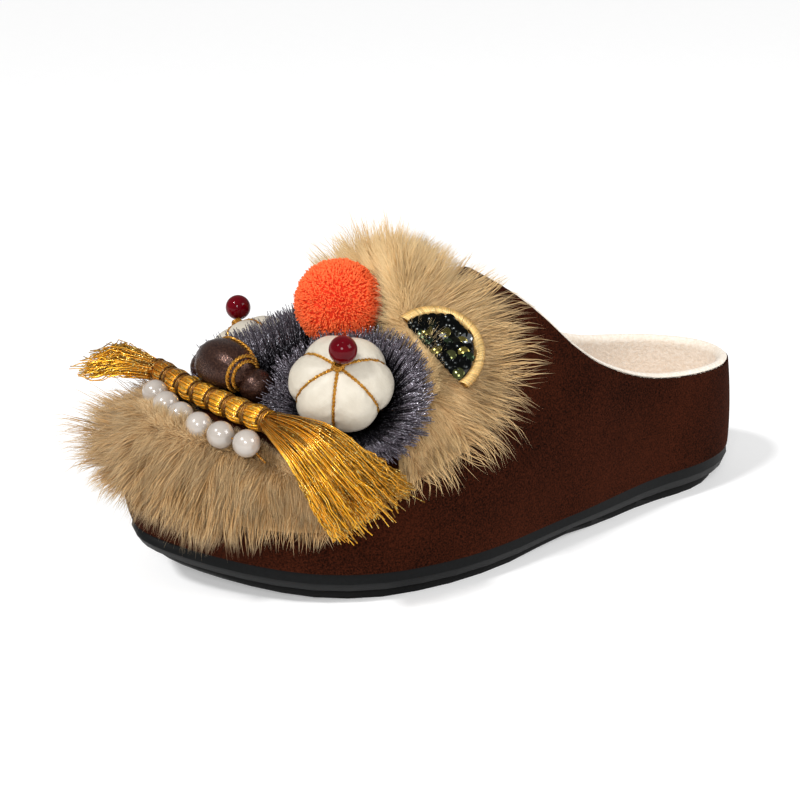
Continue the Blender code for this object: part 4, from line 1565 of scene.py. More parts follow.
@dataclass
class Mouth:
    """Bound bundle of gold thread with a tassel at each end, and the row of pearls."""

    middle: tuple = (-4.0 * MM, 0.8845, 66.0 * MM)
    half: float = 30.5 * MM
    bow: float = 2.0 * MM
    drop: float = 1.5 * MM
    turn: float = math.radians(19)
    radius: float = 4.5 * MM
    neck: float = 0.64
    bulges: int = 7
    bundle_threads: int = 150
    bundle_ends: tuple = (-1.06, 1.04)
    bundle_steps: int = 48
    binding: float = 2.6 * MM
    binding_turns: float = 3.1
    binding_steps: int = 56
    binding_radius: float = 0.4 * MM
    tassel_steps: int = 14
    uneven: float = 2.2
    long_thread: tuple = (0.07, 5 * MM)
    # Share of tassel threads painted dark as shade between the threads.
    painted_shade_share: float = 0.35
    frizzy_share: float = 0.22
    pearls: int = 6
    pearl_turn: float = math.radians(17)
    pearl_hole: tuple = (0.012, 0.06)
    pearl_thread: float = 0.4 * MM
    thread_end: tuple = (0.7, 5 * MM)
    seed: int = 31
    fans: tuple = (
        Fan(
            Flank.LATERAL,
            (-0.05, 0.88, 0.42),
            7.0,
            900,
            (
                (0.0, 26.5, -182.0, 65.0, 7.5, 7),
                (0.3, 42.0, -175.5, 61.5, 17, 10),
                (0.6, 51.5, -169.5, 53.5, 24, 12),
                (0.85, 56.0, -164.0, 46.0, 28, 11),
                (1.0, 58.5, -160.5, 41.0, 30, 8),
            ),
        ),
        Fan(
            Flank.MEDIAL,
            (-0.62, 0.75, 0.22),
            1.5,
            280,
            (
                (0.0, -33.5, -203.0, 67.6, 7.5, 7),
                (0.3, -40.0, -209.5, 69.0, 12, 8),
                (0.6, -44.0, -213.5, 69.5, 16, 8),
                (0.85, -47.0, -217.0, 69.0, 19, 7),
                (1.0, -50.0, -220.5, 68.5, 21, 5),
            ),
        ),
    )

    def build(self) -> None:
        """Makes the bundle, its bindings, the tassels and the pearls."""
        placed("mouth_threads", self.bundle(), GOLD, ("mouth_bundle",))
        placed("mouth_bindings", self.bindings(), BINDING)
        for fan in self.fans:
            node = f"tassel_{fan.flank.word}"
            placed(f"{node}_threads", self.tassel(fan), GOLD, (node,))
        self.teeth()

    def line(self, along: Array) -> Array:
        """Finds the bundle's middle line.

        Args:
            along: Places along it, from -1, medial, to 1, lateral.

        Returns:
            Its points.
        """
        x, station, z = self.middle
        start = np.array([x, float(LAST.y_of(np.array(station))), z])
        across = np.array([math.cos(self.turn), math.sin(self.turn), 0])
        ahead = np.array([math.sin(self.turn), -math.cos(self.turn), 0])
        fall = np.array([0, 0, -self.drop])
        along = np.asarray(along)[..., None]
        return start + (across * self.half + fall) * along - ahead * self.bow * along**2

    def girth(self, along: Array) -> Array:
        """Radius of the bundle: it swells between its bindings."""
        swell = np.abs(np.sin(np.pi * self.bulges * (along + 1) / 2))
        return self.radius * (self.neck + (1 - self.neck) * np.sqrt(swell))

    def ring(self, along: Array, angle: Array) -> Array:
        """Finds the ways out of the bundle.

        Args:
            along: Places along it.
            angle: Angles round it there.

        Returns:
            Unit vectors.
        """
        run = unit(self.line(along + 1e-3) - self.line(along - 1e-3))
        side = unit(np.cross(run, np.array([0, 0, 1.0])))
        return side * np.cos(angle)[..., None] + np.cross(side, run) * np.sin(angle)[..., None]

    def bundle(self) -> bpy.types.Mesh:
        """Lays threads through the bundle, most of them on its outside.

        Returns:
            The threads.
        """
        rng = np.random.default_rng(self.seed)
        n = self.bundle_threads
        along = np.linspace(*self.bundle_ends, self.bundle_steps)
        angle = np.linspace(0, 2 * np.pi, n, endpoint=False)[:, None] + 0.12 * np.sin(6 * along)
        outside = rng.uniform(0, 1, n) < 0.85
        share = np.where(outside, rng.uniform(0.95, 1.01, n), rng.uniform(0.6, 0.9, n))
        away = self.girth(along) * share[:, None] * (1 + rng.normal(0, 0.008, (n, len(along))))
        paths = self.line(along) + away[..., None] * self.ring(along, angle)
        widths = rng.uniform(0.2, 0.27, n) * MM
        return strands(paths, widths, np.ones(len(along)), rng.uniform(0, 1, n))

    def bindings(self) -> bpy.types.Mesh:
        """Winds braid round each neck of the bundle.

        Returns:
            The wraps.
        """
        lines = []
        turns = np.linspace(0, 2 * np.pi * self.binding_turns, self.binding_steps)
        for k in range(self.bulges + 1):
            along = 2 * k / self.bulges - 1
            at = along + (turns / turns[-1] - 0.5) * self.binding / self.half
            away = self.girth(at) + 0.3 * MM + 0.12 * MM * np.sin(9 * turns)
            lines.append(self.line(at) + away[:, None] * self.ring(at, turns))
        widths, tone = np.full(len(lines), self.binding_radius), np.linspace(0.2, 0.8, len(lines))
        return strands(np.array(lines), widths, np.ones(len(turns)), tone, PLY_SIDES)

    def tassel(self, fan: Fan) -> bpy.types.Mesh:
        """Lays loose threads that fan out from the bundle's end and crinkle towards their cut.

        Args:
            fan: The tassel's spread.

        Returns:
            The threads.
        """
        rng = np.random.default_rng(self.seed + fan.flank.value)
        n, s = fan.threads, np.linspace(0, 1, self.tassel_steps)
        rows, across = np.array(fan.rows), unit(np.array(fan.across))
        centre = np.stack([eased(rows, column, s) for column in (1, 2, 3)], -1) * MM
        width, thick = (eased(rows, column, s) * MM / 2 for column in (4, 5))
        run = unit(np.gradient(centre, axis=0))
        over = unit(np.cross(run, across))
        over *= np.sign(over[:, 2:])
        u = rng.uniform(-1, 1, n)
        w = rng.uniform(-1, 1, n) * np.sqrt(1 - 0.7 * u**2)
        upper = ramp(u, 0.1, 0.9)
        paths = centre + (u[:, None] * width)[..., None] * across + (w[:, None] * thick)[..., None] * over
        share, extra = self.long_thread
        reach = rng.normal(0, self.uneven, n) * MM + np.where(rng.uniform(0, 1, n) < share, extra, 0)
        paths += (reach[:, None] * s**2)[..., None] * run
        loose = s**1.2 * (rng.uniform(0.3, 2.0, n) * (1 + 0.9 * upper))[:, None] * MM
        for axis, pace in ((across, 10), (over, 13)):
            phase = rng.uniform(0, 6, (2, n, 1))
            crinkle = 0.65 * np.sin(pace * s + phase[0]) + 0.3 * np.sin(3.7 * pace * s + phase[1])
            paths += (loose * crinkle)[..., None] * axis
        frizzy = rng.uniform(0, 1, n) < self.frizzy_share
        lift = np.where(frizzy, rng.uniform(0.3, 1, n) * fan.frizz, 0) * MM
        paths += (lift[:, None] * np.sin(2.2 * s))[..., None] * over
        widths = rng.uniform(0.17, 0.27, n) * MM
        # Painted shade: some threads are dark to stand for shadow between threads, and the upper side of the
        # spread is painted darker as its shaded side.
        dark = rng.uniform(0, 1, n) < self.painted_shade_share
        tone = np.where(dark, rng.uniform(0, 0.25, n), rng.uniform(0.5, 1, n))
        return strands(paths, widths, np.ones(len(s)), np.clip(tone - 0.4 * upper, 0.06, 1))

    def teeth(self) -> None:
        """Strings the pearls on their thread."""
        nodes = [f"pearl_{k + 1}" for k in range(self.pearls)]
        centres = [middle_of(node) for node in nodes]
        for node, centre in zip(nodes, centres):
            turn = moved_to(centre) @ Matrix.Rotation(self.pearl_turn, 4, "Z")
            form = ball((40, 24), turn, drilled(node, np.array([1.0, 0, 0]), *self.pearl_hole))
            placed(f"{node}_round", form, PEARL, (node,))
        past, down = self.thread_end
        first, last = (centres[0] - centres[1]) * past, (centres[-1] - centres[-2]) * past
        ends = np.array([centres[0] + first, *centres, centres[-1] + last])
        ends[[0, -1], 2] -= down
        placed("pearl_thread", cord(ends, self.pearl_thread), CORD)


@dataclass
class Nose:
    """Stuffed satin nose: a pillow between two nostrils, and the cords that draw them in.

    Gathers are a count round a lobe, a phase, the shares of its width they grow between, and their depth.
    """

    centre: tuple = (-7.43 * MM, -185.37 * MM, 74.07 * MM)
    turn: float = math.radians(16.5)
    half: tuple = (13.5 * MM, 9.0 * MM, 10.5 * MM)
    base: float = 7.0 * MM
    fullness: float = 2.2
    pillow_gathers: tuple = (19, 0, 0.55, 0.95, 0.014)
    nostrils: tuple = ((14.5, 2.5, -3.5), (-11.5, 0.0, -2.5))
    nostril: float = 6.2 * MM
    nostril_gathers: tuple = (15, 1, 0.35, 0.9, 0.016)
    cord_radius: float = 0.7 * MM
    cord_span: tuple = (math.radians(14), math.radians(172))
    cord_back: float = 0.42
    cord_steps: int = 40
    ring_leans: tuple = (math.radians(34), math.radians(25))
    ring_span: tuple = (math.radians(-60), math.radians(170))
    ring_steps: int = 44

    def build(self) -> None:
        """Makes the lobes and the cords."""
        own = moved_to(self.centre) @ Matrix.Rotation(self.turn, 4, "Z")
        lobes = [ball((112, 64), own, self.pillow)]
        for centre in self.nostrils:
            lobes.append(ball((64, 40), own @ moved_to(Vector(centre) * MM), self.lobe))
        nose = placed("nose_satin", joined(lobes), BROWN_SATIN, ("nose",))
        turn = np.linspace(*self.cord_span, self.cord_steps)
        over = np.stack([np.cos(turn), np.full(self.cord_steps, self.cord_back), np.sin(turn)], -1)
        placed("nose_cord_twist", self.laid(own, unit(over)), CORD, ("nose_cord",))
        dip = np.linspace(*self.ring_span, self.ring_steps)
        rings = []
        for lean in self.ring_leans:
            level, out = math.sin(lean), np.full(self.ring_steps, math.cos(lean))
            ring = np.stack([out, -np.cos(dip) * level, np.sin(dip) * level], -1)
            rings.append(self.laid(own, unit(ring)))
        placed("nostril_cord", joined(rings), CORD)

    def laid(self, own: Matrix, directions: Array) -> bpy.types.Mesh:
        """A cord laid on the pillow along directions from its middle."""
        points = directions * (self.pillow(directions) + 0.5 * self.cord_radius)[:, None]
        return cord(in_frame(own, points), self.cord_radius)

    @staticmethod
    def gathered(directions: Array, gathers: tuple) -> Array:
        """Draws satin in towards a lobe's two ends.

        Args:
            directions: Directions from the lobe's middle.
            gathers: What the gathers are like.

        Returns:
            Shares to scale the lobe by.
        """
        count, phase, start, end, depth = gathers
        around = np.arctan2(directions[:, 2], directions[:, 1])
        return 1 + depth * (np.sin(count * around + phase) * ramp(np.abs(directions[:, 0]), start, end))

    def pillow(self, directions: Array) -> Array:
        """Shapes the main lobe.

        Args:
            directions: Directions from its middle.

        Returns:
            How far its satin stands from its middle.
        """
        high = np.where(directions[:, 2] > 0, self.half[2], self.base)
        half = np.stack([np.full_like(high, self.half[0]), np.full_like(high, self.half[1]), high], -1)
        form = (np.abs(directions / half) ** self.fullness).sum(1) ** (-1 / self.fullness)
        return form * self.gathered(directions, self.pillow_gathers)

    def lobe(self, directions: Array) -> Array:
        """How far a nostril's satin stands from its middle."""
        return self.nostril * self.gathered(directions, self.nostril_gathers)


@dataclass
class Eye:
    """Stuffed puff with its cord, its glass bead and the thread fringe round it.

    Each form of the fringe is its lean from the upper, how far out its roots are, and its length.
    """

    flank: Flank
    centre: tuple
    axes: tuple
    seat: tuple
    beside: tuple
    between: tuple
    under: tuple
    standing: tuple
    radius: float = 18.3 * MM
    height: float = 13.8 * MM
    base: float = 9.5 * MM
    lobes: int = 6
    groove: float = 0.15
    dimple: float = 0.10
    tuck: float = 0.014
    crease: float = 0.008
    cord_radius: float = 0.62 * MM
    cord_tilt: float = math.radians(118)
    bead_hole: tuple = (0.015, 0.08)
    knot: float = 2.0 * MM
    knot_turns: int = 4
    knot_rise: tuple = (0.6 * MM, 1.8 * MM)
    knot_cord: float = 0.5 * MM
    threads: int = 3600
    thread_taper: tuple = (0.9, 1, 0.8)
    pleats: int = 46
    tier: float = 5.0 * MM
    cup: float = 0.10
    free: tuple = (math.radians(27), 17.0 * MM, 20.5 * MM)
    steep: tuple = (math.radians(48), 18.5 * MM, 19.5 * MM)
    low: tuple = (math.radians(14), 16.0 * MM, 13.0 * MM)
    seed: int = 50

    def build(self, ground: BVHTree) -> None:
        """Makes the puff, its cord, its bead and its fringe.

        Args:
            ground: The upper's solid, which the fringe is rooted on.
        """
        word = self.flank.word
        turn = seated(self.centre, self.axes)
        form = ball((132, 72), turn, self.reach)
        puff = placed(f"puff_{word}_satin", form, WHITE_SATIN, (f"puff_{word}",))
        self.cords(turn)
        self.bead(turn)
        placed(f"fringe_{word}_threads", self.fringe(ground), GREY, (f"fringe_{word}",))

    def reach(self, directions: Array) -> Array:
        """Shapes the pumpkin: lobes between drawn-in grooves, tucks beside them, a dimple on top.

        Args:
            directions: Directions from its middle.

        Returns:
            How far its satin stands from its middle.
        """
        level = np.hypot(directions[:, 0], directions[:, 1])
        turn = np.arctan2(directions[:, 1], directions[:, 0])
        wave = np.abs(np.sin(self.lobes / 2 * turn))
        groove = 1 - np.sqrt(wave)
        height = np.where(directions[:, 2] > 0, self.height, self.base)
        half = np.stack([np.full_like(level, self.radius), np.full_like(level, self.radius), height], -1)
        form = 1 / np.sqrt(((directions / half) ** 2).sum(1))
        tilt = np.arctan2(level, directions[:, 2])
        tucks = np.sin(24 * tilt + 3 * np.sin(self.lobes * turn)) * np.exp(-((wave / 0.42) ** 2)) * level
        creases = np.sin(11 * tilt + 5 * turn) * np.sin(7 * turn + 2) * level
        pinch = 1 - self.dimple * np.abs(directions[:, 2]) ** 6
        drawn = form * (1 - self.groove * groove * level) * pinch
        return drawn * (1 + self.tuck * tucks + self.crease * creases)

    def cords(self, turn: Matrix) -> None:
        """Lays twisted cord in the grooves, over the top.

        Args:
            turn: The puff's own frame.
        """
        plies = []
        tilt = np.linspace(-self.cord_tilt, self.cord_tilt, 60)
        level = np.sin(tilt)
        for k in range(self.lobes // 2):
            at = 2 * math.pi * k / self.lobes
            directions = np.stack([level * math.cos(at), level * math.sin(at), np.cos(tilt)], -1)
            points = directions * (self.reach(directions) + 0.75 * self.cord_radius)[:, None]
            plies.append(cord(in_frame(turn, points), self.cord_radius))
        node = f"puff_cord_{self.flank.word}"
        placed(f"{node}_twist", joined(plies), CORD, (node,))

    def bead(self, turn: Matrix) -> None:
        """Makes the glass bead over a little knot of gold thread.

        Args:
            turn: The puff's own frame.
        """
        node = f"bead_{self.flank.word}"
        form = drilled(node, np.array(self.axes[2]), *self.bead_hole)
        placed(f"{node}_glass", ball((48, 28), moved_to(middle_of(node)), form), GLASS, (node,))
        turns = np.linspace(0, 2 * math.pi * self.knot_turns, 72)
        spread = self.knot * (1 - 0.35 * turns / turns[-1])
        top = float(self.reach(np.array([[0.0, 0.0, 1.0]]))[0])
        rise = top + self.knot_rise[0] + self.knot_rise[1] * turns / turns[-1]
        knot = np.stack([spread * np.cos(turns), spread * np.sin(turns), rise], -1)
        placed(f"bead_knot_{self.flank.word}", cord(in_frame(turn, knot), self.knot_cord), CORD)

    def facing(self, directions: Array, others: tuple, spread: float) -> Array:
        """Measures how directly one of several points lies each way, seen along the puff's axis.

        Args:
            directions: Directions round the axis.
            others: The points, in millimetres.
            spread: How narrow each point's reach is.

        Returns:
            Shares from 0 to 1.
        """
        axis, nearest = np.array(self.axes[2]), np.zeros(len(directions))
        for other in others:
            away = (np.array(other) - np.array(self.seat)) * MM
            away = unit(away - axis * (away @ axis))
            nearest = np.maximum(nearest, np.clip(directions @ away, 0, 1) ** spread)
        return nearest

    def fringe(self, ground: BVHTree) -> bpy.types.Mesh:
        """Roots threads on the upper round the puff, fanned out and cut to an even edge.

        Args:
            ground: The upper's solid.

        Returns:
            The threads.
        """
        rng = np.random.default_rng(self.seed + self.flank.value)
        n, s = self.threads, np.linspace(0, 1, len(self.thread_taper))
        angle = np.linspace(0, 2 * np.pi, n, endpoint=False) + rng.normal(0, 0.01, n)
        x_axis, y_axis, axis = (np.array(way) for way in self.axes)
        direction = np.cos(angle)[:, None] * x_axis + np.sin(angle)[:, None] * y_axis
        form = np.tile(np.array(self.free), (n, 1))
        places = ((self.beside, 3, self.steep), (self.between, 4, self.standing), (self.under, 6, self.low))
        ruffled = self.facing(direction, self.between, 4)
        for others, spread, other_form in places:
            form += (np.array(other_form) - form) * self.facing(direction, others, spread)[:, None]
        layer = rng.uniform(0, 1, n)
        pleat = np.sin(angle * self.pleats)
        lean = form[:, 0] + (layer - 0.5) * (0.16 + 0.4 * ruffled) + 0.06 * pleat
        start = form[:, 1] - self.tier * layer
        uneven = rng.uniform(0.93, 1.02, n) * np.where(rng.uniform(0, 1, n) < 0.08, 0.82, 1)
        length = form[:, 2] * uneven * (1 - 0.22 * ruffled * rng.uniform(0, 1, n))
        seats, down = [], Vector(-axis)
        for root in np.array(self.seat) * MM + direction * start[:, None]:
            hit = ground.ray_cast(Vector(root + axis * 0.1), down)[0]
            seats.append(hit if hit else Vector(root))
        along = direction * np.cos(lean)[:, None] + axis * np.sin(lean)[:, None]
        over = axis * np.cos(lean)[:, None] - direction * np.sin(lean)[:, None]
        run = (length[:, None] * s)[..., None] * along[:, None]
        cup = (length[:, None] * self.cup * s**2)[..., None] * over[:, None]
        paths = np.array(seats)[:, None] + axis * 0.4 * MM + run + cup
        ruffle = (0.16 + 0.8 * ruffled)[:, None, None] * MM
        paths += rng.normal(0, 1, (n, 1, 3)) * ruffle * (s**1.5)[:, None]
        widths = rng.uniform(0.14, 0.2, n) * MM
        # Painted light and shade: tone rises and falls with the pleats, and threads that face the nose, the
        # pompom and the space between them are painted darker as shade.
        tone = np.clip(0.5 + 0.24 * pleat + rng.normal(0, 0.2, n) - 0.2 * ruffled, 0, 1)
        return strands(paths, widths, np.array(self.thread_taper), tone)


@dataclass
class Pompom:
    """Trimmed yarn ball."""

    yarns: int = 7600
    trim: float = 0.97
    heart: float = 0.92
    rooted: float = 0.8
    taper: tuple = (0.8, 1)
    seed: int = 71

    def build(self) -> None:
        """Makes the dark heart and the cut yarn."""
        centre = middle_of("pompom")
        low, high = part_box("pompom")
        radius = self.trim * (high[0] - low[0]) / 2
        heart = ball((48, 24), moved_to(centre), lambda ways: np.full(len(ways), radius * self.heart))
        placed("pompom_heart", heart, ORANGE_CORE, ("pompom",))
        placed("pompom_yarn", self.yarn(centre, radius), ORANGE)

    def yarn(self, centre: Array, radius: float) -> bpy.types.Mesh:
        """Stands yarn ends all round, cut to a ball and fuller at the cut.

        Args:
            centre: The ball's middle.
            radius: Its radius.

        Returns:
            The yarn.
        """
        rng = np.random.default_rng(self.seed)
        n = self.yarns
        k = np.arange(n) + 0.5
        height = 1 - 2 * k / n
        turn = np.pi * (1 + math.sqrt(5)) * k
        level = np.sqrt(1 - height**2)
        out = np.stack([level * np.cos(turn), level * np.sin(turn), height], -1)
        out = unit(out + rng.normal(0, 0.03, out.shape))
        lump = np.sin(9 * out[:, 0] + 1) * np.sin(8 * out[:, 1] + 2) * np.sin(9 * out[:, 2])
        end = radius * (1.0 + 0.025 * lump + rng.normal(0, 0.018, n))
        s, root = np.array([0, 1]), radius * self.rooted
        from_middle = root + (end - root)[:, None] * s
        bent = unit(out[:, None] + rng.normal(0, 0.05, (n, 1, 3)) * s[:, None])
        widths = rng.uniform(0.2, 0.3, n) * MM
        paths = centre + bent * from_middle[..., None]
        return strands(paths, widths, np.array(self.taper), rng.uniform(0, 1, n))


@dataclass
class Ear:
    """Half-moon of overlapping sequins with a satin-stitched rim."""

    flank: Flank
    centre: tuple
    axes: tuple
    radius: float = 14.0 * MM
    rim: float = 1.7 * MM
    gap: float = 0.3 * MM
    roll: float = math.radians(20)
    backing_sharp: float = 40
    pitch: float = 2.7 * MM
    overlap: tuple = (0.9, 0.8)
    sequin: float = 2.2 * MM
    sequin_sides: int = 10
    sequin_thick: float = 0.2 * MM
    sequin_lift: tuple = (1.3, 0.25)
    first_row: float = 1.0 * MM
    stitches: int = 230
    stitch_bow: float = math.radians(100)
    stitch_lift: float = 0.12 * MM
    stitch_slant: float = 0.05
    stitch_taper: tuple = (0.8, 1, 1, 1, 1, 1, 0.8)
    sequin_seed: int = 80
    stitch_seed: int = 90

    def build(self) -> None:
        """Makes the backing, the sequins, the rim and its stitches."""
        word = self.flank.word
        ear, rim = f"ear_{word}", f"ear_rim_{word}"
        turn = seated(self.centre, self.axes) @ Matrix.Rotation(self.flank.value * self.roll, 4, "Z")
        placed(f"{ear}_backing", node_form(ear), SEQUIN_BACK, (ear,), self.backing_sharp)
        placed(f"{ear}_sequins", self.sequins(turn), SEQUIN)
        placed(f"{rim}_core", node_form(rim), CORD, (rim,))
        placed(f"{rim}_stitches", self.stitching(turn), RIM)

    def sequins(self, turn: Matrix) -> bmesh.types.BMesh:
        """Sews rows of sequins, each tilted a little its own way.

        Args:
            turn: The ear's own frame.

        Returns:
            The sequins, whose vertices have a tone.
        """
        rng = np.random.default_rng(self.sequin_seed + self.flank.value)
        bm = bmesh.new()
        tone = bm.verts.layers.float.new("tone")
        across, down = self.pitch * self.overlap[0], self.pitch * self.overlap[1]
        for row in range(int(self.radius / down)):
            y = self.first_row + row * down
            lift = (self.sequin_lift[0] + self.sequin_lift[1] * (row % 2)) * MM
            reach = math.sqrt(max(self.radius**2 - y**2, 0)) - 0.8 * self.sequin
            for x in np.arange(-reach, reach + 0.1 * MM, across):
                made = bmesh.ops.create_cone(
                    bm,
                    cap_ends=True,
                    segments=self.sequin_sides,
                    radius1=self.sequin,
                    radius2=self.sequin * 0.9,
                    depth=self.sequin_thick,
                )["verts"]
                tilt = Matrix.Rotation(rng.normal(0.14, 0.08), 4, "X")
                tilt = tilt @ Matrix.Rotation(rng.normal(0, 0.12), 4, "Y")
                place = Matrix.Translation((x + rng.normal(0, 0.2) * MM, y, lift))
                bmesh.ops.transform(bm, matrix=turn @ place @ tilt, verts=made)
                # Painted glints: a random tone for each sequin, which leaves most dark and paints a few
                # olive, gold or near white.
                shade = rng.uniform(0, 1) ** 1.3
                for vert in made:
                    vert[tone] = shade
        return bm

    def stitching(self, turn: Matrix) -> bpy.types.Mesh:
        """Lays threads side by side over the rim.

        Args:
            turn: The ear's own frame.

        Returns:
            The threads.
        """
        rng = np.random.default_rng(self.stitch_seed + self.flank.value)
        n = self.stitches
        at = np.linspace(0.0, math.pi, n) + rng.normal(0, 0.004, n)
        bow = np.linspace(-self.stitch_bow, self.stitch_bow, len(self.stitch_taper))
        away = self.rim + self.stitch_lift
        slant = at[:, None] + self.stitch_slant * np.sin(bow)
        level = self.radius + self.rim + self.gap + away * np.sin(bow)
        height = np.broadcast_to(away * np.cos(bow), slant.shape)
        points = np.stack([level * np.cos(slant), level * np.sin(slant), height], -1)
        widths = rng.uniform(0.13, 0.2, n) * MM
        return strands(in_frame(turn, points), widths, np.array(self.stitch_taper), rng.uniform(0, 1, n))


@dataclass
class Studio:
    """Pale floor, soft light and the photograph's camera.

    Each soft light has a name, a place, a size and a power.
    """

    azimuth: float = math.radians(61.0)
    elevation: float = math.radians(21.9)
    distance: float = 0.541
    aim: tuple = (0.0, -0.095, 0.040)
    shift_right: float = -0.022
    shift_up: float = 0.008
    sensor: float = 36
    lens: float = 1388 / 800 * 36
    nearest: float = 0.01
    floor: float = 12
    sky: float = 0.32
    sun_travel: tuple = (-0.10, 0.62, -0.78)
    sun_power: float = 2.1
    sun_size: float = math.radians(9)
    lights: tuple = (("front", (0.95, -0.75, 0.7), 0.35, 6.0), ("side", (0.8, 0.55, 0.75), 0.5, 5.5))
    lit: tuple = (0, -0.1, 0.05)

    def build(self) -> None:
        """Sets the floor, the lights, the world and the camera."""
        floor = bmesh.new()
        bmesh.ops.create_grid(floor, x_segments=1, y_segments=1, size=self.floor)
        mesh = meshed(floor)
        mesh.materials.append(PAPER.material())
        piece = linked("floor", mesh)
        self.sun()
        for light in self.lights:
            self.light(*light)
        world = bpy.data.worlds.new("studio")
        world.use_nodes = True
        world.node_tree.nodes["Background"].inputs["Color"].default_value = (1, 1, 1, 1)
        world.node_tree.nodes["Background"].inputs["Strength"].default_value = self.sky
        bpy.context.scene.world = world
        bpy.context.scene.view_settings.view_transform = "Standard"
        self.camera()

    @staticmethod
    def looking(way: Vector) -> Matrix:
        """A turn that looks along a direction."""
        return way.to_track_quat("-Z", "Y").to_matrix().to_4x4()

    def sun(self) -> None:
        """Adds the main light, which comes down from the toe's side."""
        lamp = bpy.data.lights.new("sun", "SUN")
        lamp.energy, lamp.angle = self.sun_power, self.sun_size
        linked("sun", lamp).matrix_world = self.looking(Vector(self.sun_travel))

    def light(self, name: str, place: tuple, size: float, power: float) -> None:
        """Adds a square soft light that looks at the shoe.

        Args:
            name: Its name.
            place: Where it stands.
            size: Its side.
            power: Its power, in watts.
        """
        lamp = bpy.data.lights.new(name, "AREA")
        lamp.size, lamp.energy = size, power
        turn = self.looking(Vector(self.lit) - Vector(place))
        linked(name, lamp).matrix_world = Matrix.Translation(place) @ turn

    def camera(self) -> None:
        """Puts the camera at the photograph's viewing angle."""
        level = math.cos(self.elevation)
        x, y = math.sin(self.azimuth) * level, -math.cos(self.azimuth) * level
        back = Vector((x, y, math.sin(self.elevation)))
        right = Vector((math.cos(self.azimuth), math.sin(self.azimuth), 0))
        up = back.cross(right)
        eye = Vector(self.aim) + back * self.distance
        target = Vector(self.aim) + right * self.shift_right + up * self.shift_up
        data = bpy.data.cameras.new("camera")
        data.sensor_width, data.lens = self.sensor, self.lens
        data.clip_start = self.nearest
        piece = linked("camera", data)
        piece.matrix_world = Matrix.Translation(eye) @ self.looking(target - eye)
        bpy.context.scene.camera = piece


LONG_TAPER = (0.8, 1.0, 0.7, 0.0)
BROW = Fur(
    "fur_brow",
    (
        (-1.0, 0.695, 0.46, 0.695, 0.32, 5, 5, 9),
        (-0.7, 0.645, 0.60, 0.580, 0.36, 7, 7, 11),
        (-0.36, 0.650, 0.77, 0.505, 0.61, 11, 9, 11),
        (-0.27, 0.655, 0.83, 0.525, 0.74, 17, 12, 12),
        (-0.15, 0.658, 0.91, 0.545, 0.86, 39, 18, 13),
        (0.0, 0.655, 1.00, 0.560, 1.00, 40, 19, 13),
        (0.15, 0.650, 0.91, 0.545, 0.86, 39, 20, 13),
        (0.30, 0.632, 0.81, 0.530, 0.72, 36, 20, 13),
        (0.42, 0.628, 0.72, 0.525, 0.58, 32, 17, 12),
        (0.55, 0.628, 0.66, 0.550, 0.47, 26, 15, 12),
        (0.7, 0.635, 0.60, 0.580, 0.36, 16, 12, 12),
        (1.0, 0.695, 0.46, 0.695, 0.32, 5, 5, 9),
    ),
    coats=(
        Coat("wool", 26000, (-0.4, 1.2), (0.25, 0.55), (0.66, 0.98), SHORT_TAPER, 0.14 * MM, 0.2),
        Coat("guard", 5400, (-0.3, 1.46), (0.35, 0.7), (0.74, 1.08), LONG_TAPER, 0.13 * MM, 0.45),
        Coat(
            "tuft", 2600, (-0.15, 0.26), (0.15, 0.4), (1.0, 1.7), SHORT_TAPER, 0.13 * MM, 0.3,
            (-0.72, -0.38),
        ),
        Coat(
            "bib", 3800, (-0.45, 0.06), (0.05, 0.2), (0.12, 0.85), SHORT_TAPER, 0.15 * MM, 0.2,
            (-0.3, 0.85),
        ),
    ),
    over_ridge=True,
    seed=21,
    hair=BROW_FUR_PAINTED_LIGHT,
    pelt=BROW_PELT_PAINTED_LIGHT,
    fan=(-0.32, -0.46, -0.05),
)
CHIN = Fur(
    "fur_chin",
    (
        (0.0, 0.345, 0.40, 0.345, 0.22, 5, 5, 8),
        (0.25, 0.41, 0.66, 0.41, 0.24, 8, 9, 13),
        (0.5, 0.49, 0.74, 0.49, 0.36, 12, 16, 20),
        (0.70, 0.55, 0.675, 0.55, 0.45, 12, 24, 34),
        (0.88, 0.60, 0.60, 0.60, 0.46, 16, 26, 36),
        (1.0, 0.632, 0.42, 0.632, 0.32, 8, 10, 14),
    ),
    coats=(
        Coat("wool", 25000, (-0.18, 1.08), (0.3, 0.55), (0.8, 1.06), SHORT_TAPER, 0.14 * MM, 0.2),
        Coat("guard", 5200, (-0.1, 1.28), (0.4, 0.7), (0.85, 1.1), LONG_TAPER, 0.13 * MM, 0.45),
        Coat("skirt", 4600, (0.9, 1.42), (0.2, 0.5), (0.12, 0.8), SHORT_TAPER, 0.15 * MM, 0.2, (0.2, 1.0)),
    ),
    over_ridge=False,
    seed=22,
)
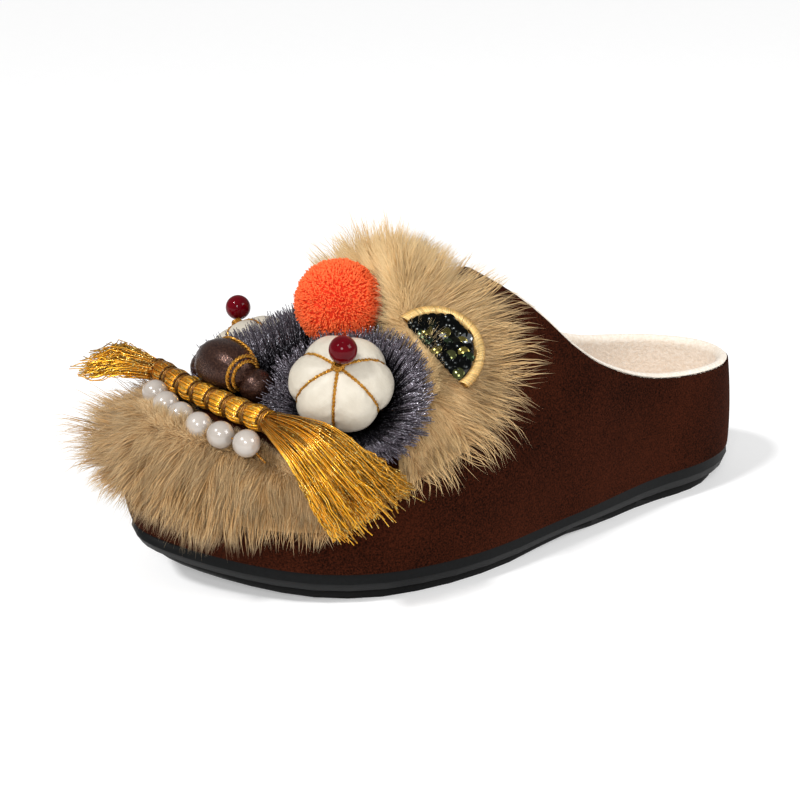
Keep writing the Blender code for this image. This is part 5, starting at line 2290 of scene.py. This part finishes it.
NOSE_SEAT = (-7.43, -185.37, 61.17)
POMPOM_SEAT = (1.86, -136.16, 79.27)
LATERAL_EYE = Eye(
    Flank.LATERAL,
    centre=(30.37, -157.1, 75.79),
    axes=((0.7808, 0.4940, -0.3824), (-0.2372, 0.8007, 0.5501), (0.5780, -0.3388, 0.7424)),
    seat=(22.57, -152.53, 65.76),
    beside=((28.97, -120.92, 76.5),),
    between=(NOSE_SEAT, (-8.0, -155.0, 66.0), POMPOM_SEAT),
    under=((29.5, -180.5, 65.5), (42.5, -175.5, 60.5), (52.5, -169.5, 51.5)),
    standing=(math.radians(72), 19.0 * MM, 15.0 * MM),
)
MEDIAL_EYE = Eye(
    Flank.MEDIAL,
    centre=(-28.66, -167.36, 69.77),
    axes=((-0.7637, -0.2044, -0.6124), (0.2838, -0.9583, -0.0342), (-0.5799, -0.2000, 0.7898)),
    seat=(-20.49, -164.54, 58.64),
    beside=((-21.89, -141.14, 65.21),),
    between=(NOSE_SEAT, (9.5, -181.5, 60.0), (15.0, -160.0, 62.0), POMPOM_SEAT),
    under=((-36.0, -205.5, 68.0), (-44.0, -213.5, 69.5)),
    standing=(math.radians(78), 20.5 * MM, 24.0 * MM),
)
EARS = (
    Ear(
        Flank.LATERAL,
        centre=(36.05, -124.31, 84.2),
        axes=((0.7365, 0.0, -0.6765), (0.2085, 0.9513, 0.2270), (0.6436, -0.3082, 0.7006)),
    ),
    Ear(
        Flank.MEDIAL,
        centre=(-28.56, -144.68, 73.2),
        axes=((0.7680, 0.0, 0.6404), (-0.2065, 0.9466, 0.2476), (-0.6062, -0.3224, 0.7270)),
    ),
)


def main() -> None:
    """Builds every piece in order."""
    Studio().build()
    ground = BVHTree.FromBMesh(node_form("upper"))
    Upper().build()
    Sole().build()
    for band in (BROW, CHIN):
        band.build()
    Mouth().build()
    Nose().build()
    for eye in (LATERAL_EYE, MEDIAL_EYE):
        eye.build(ground)
    Pompom().build()
    for ear in EARS:
        ear.build()


if __name__ == "__main__":
    main()
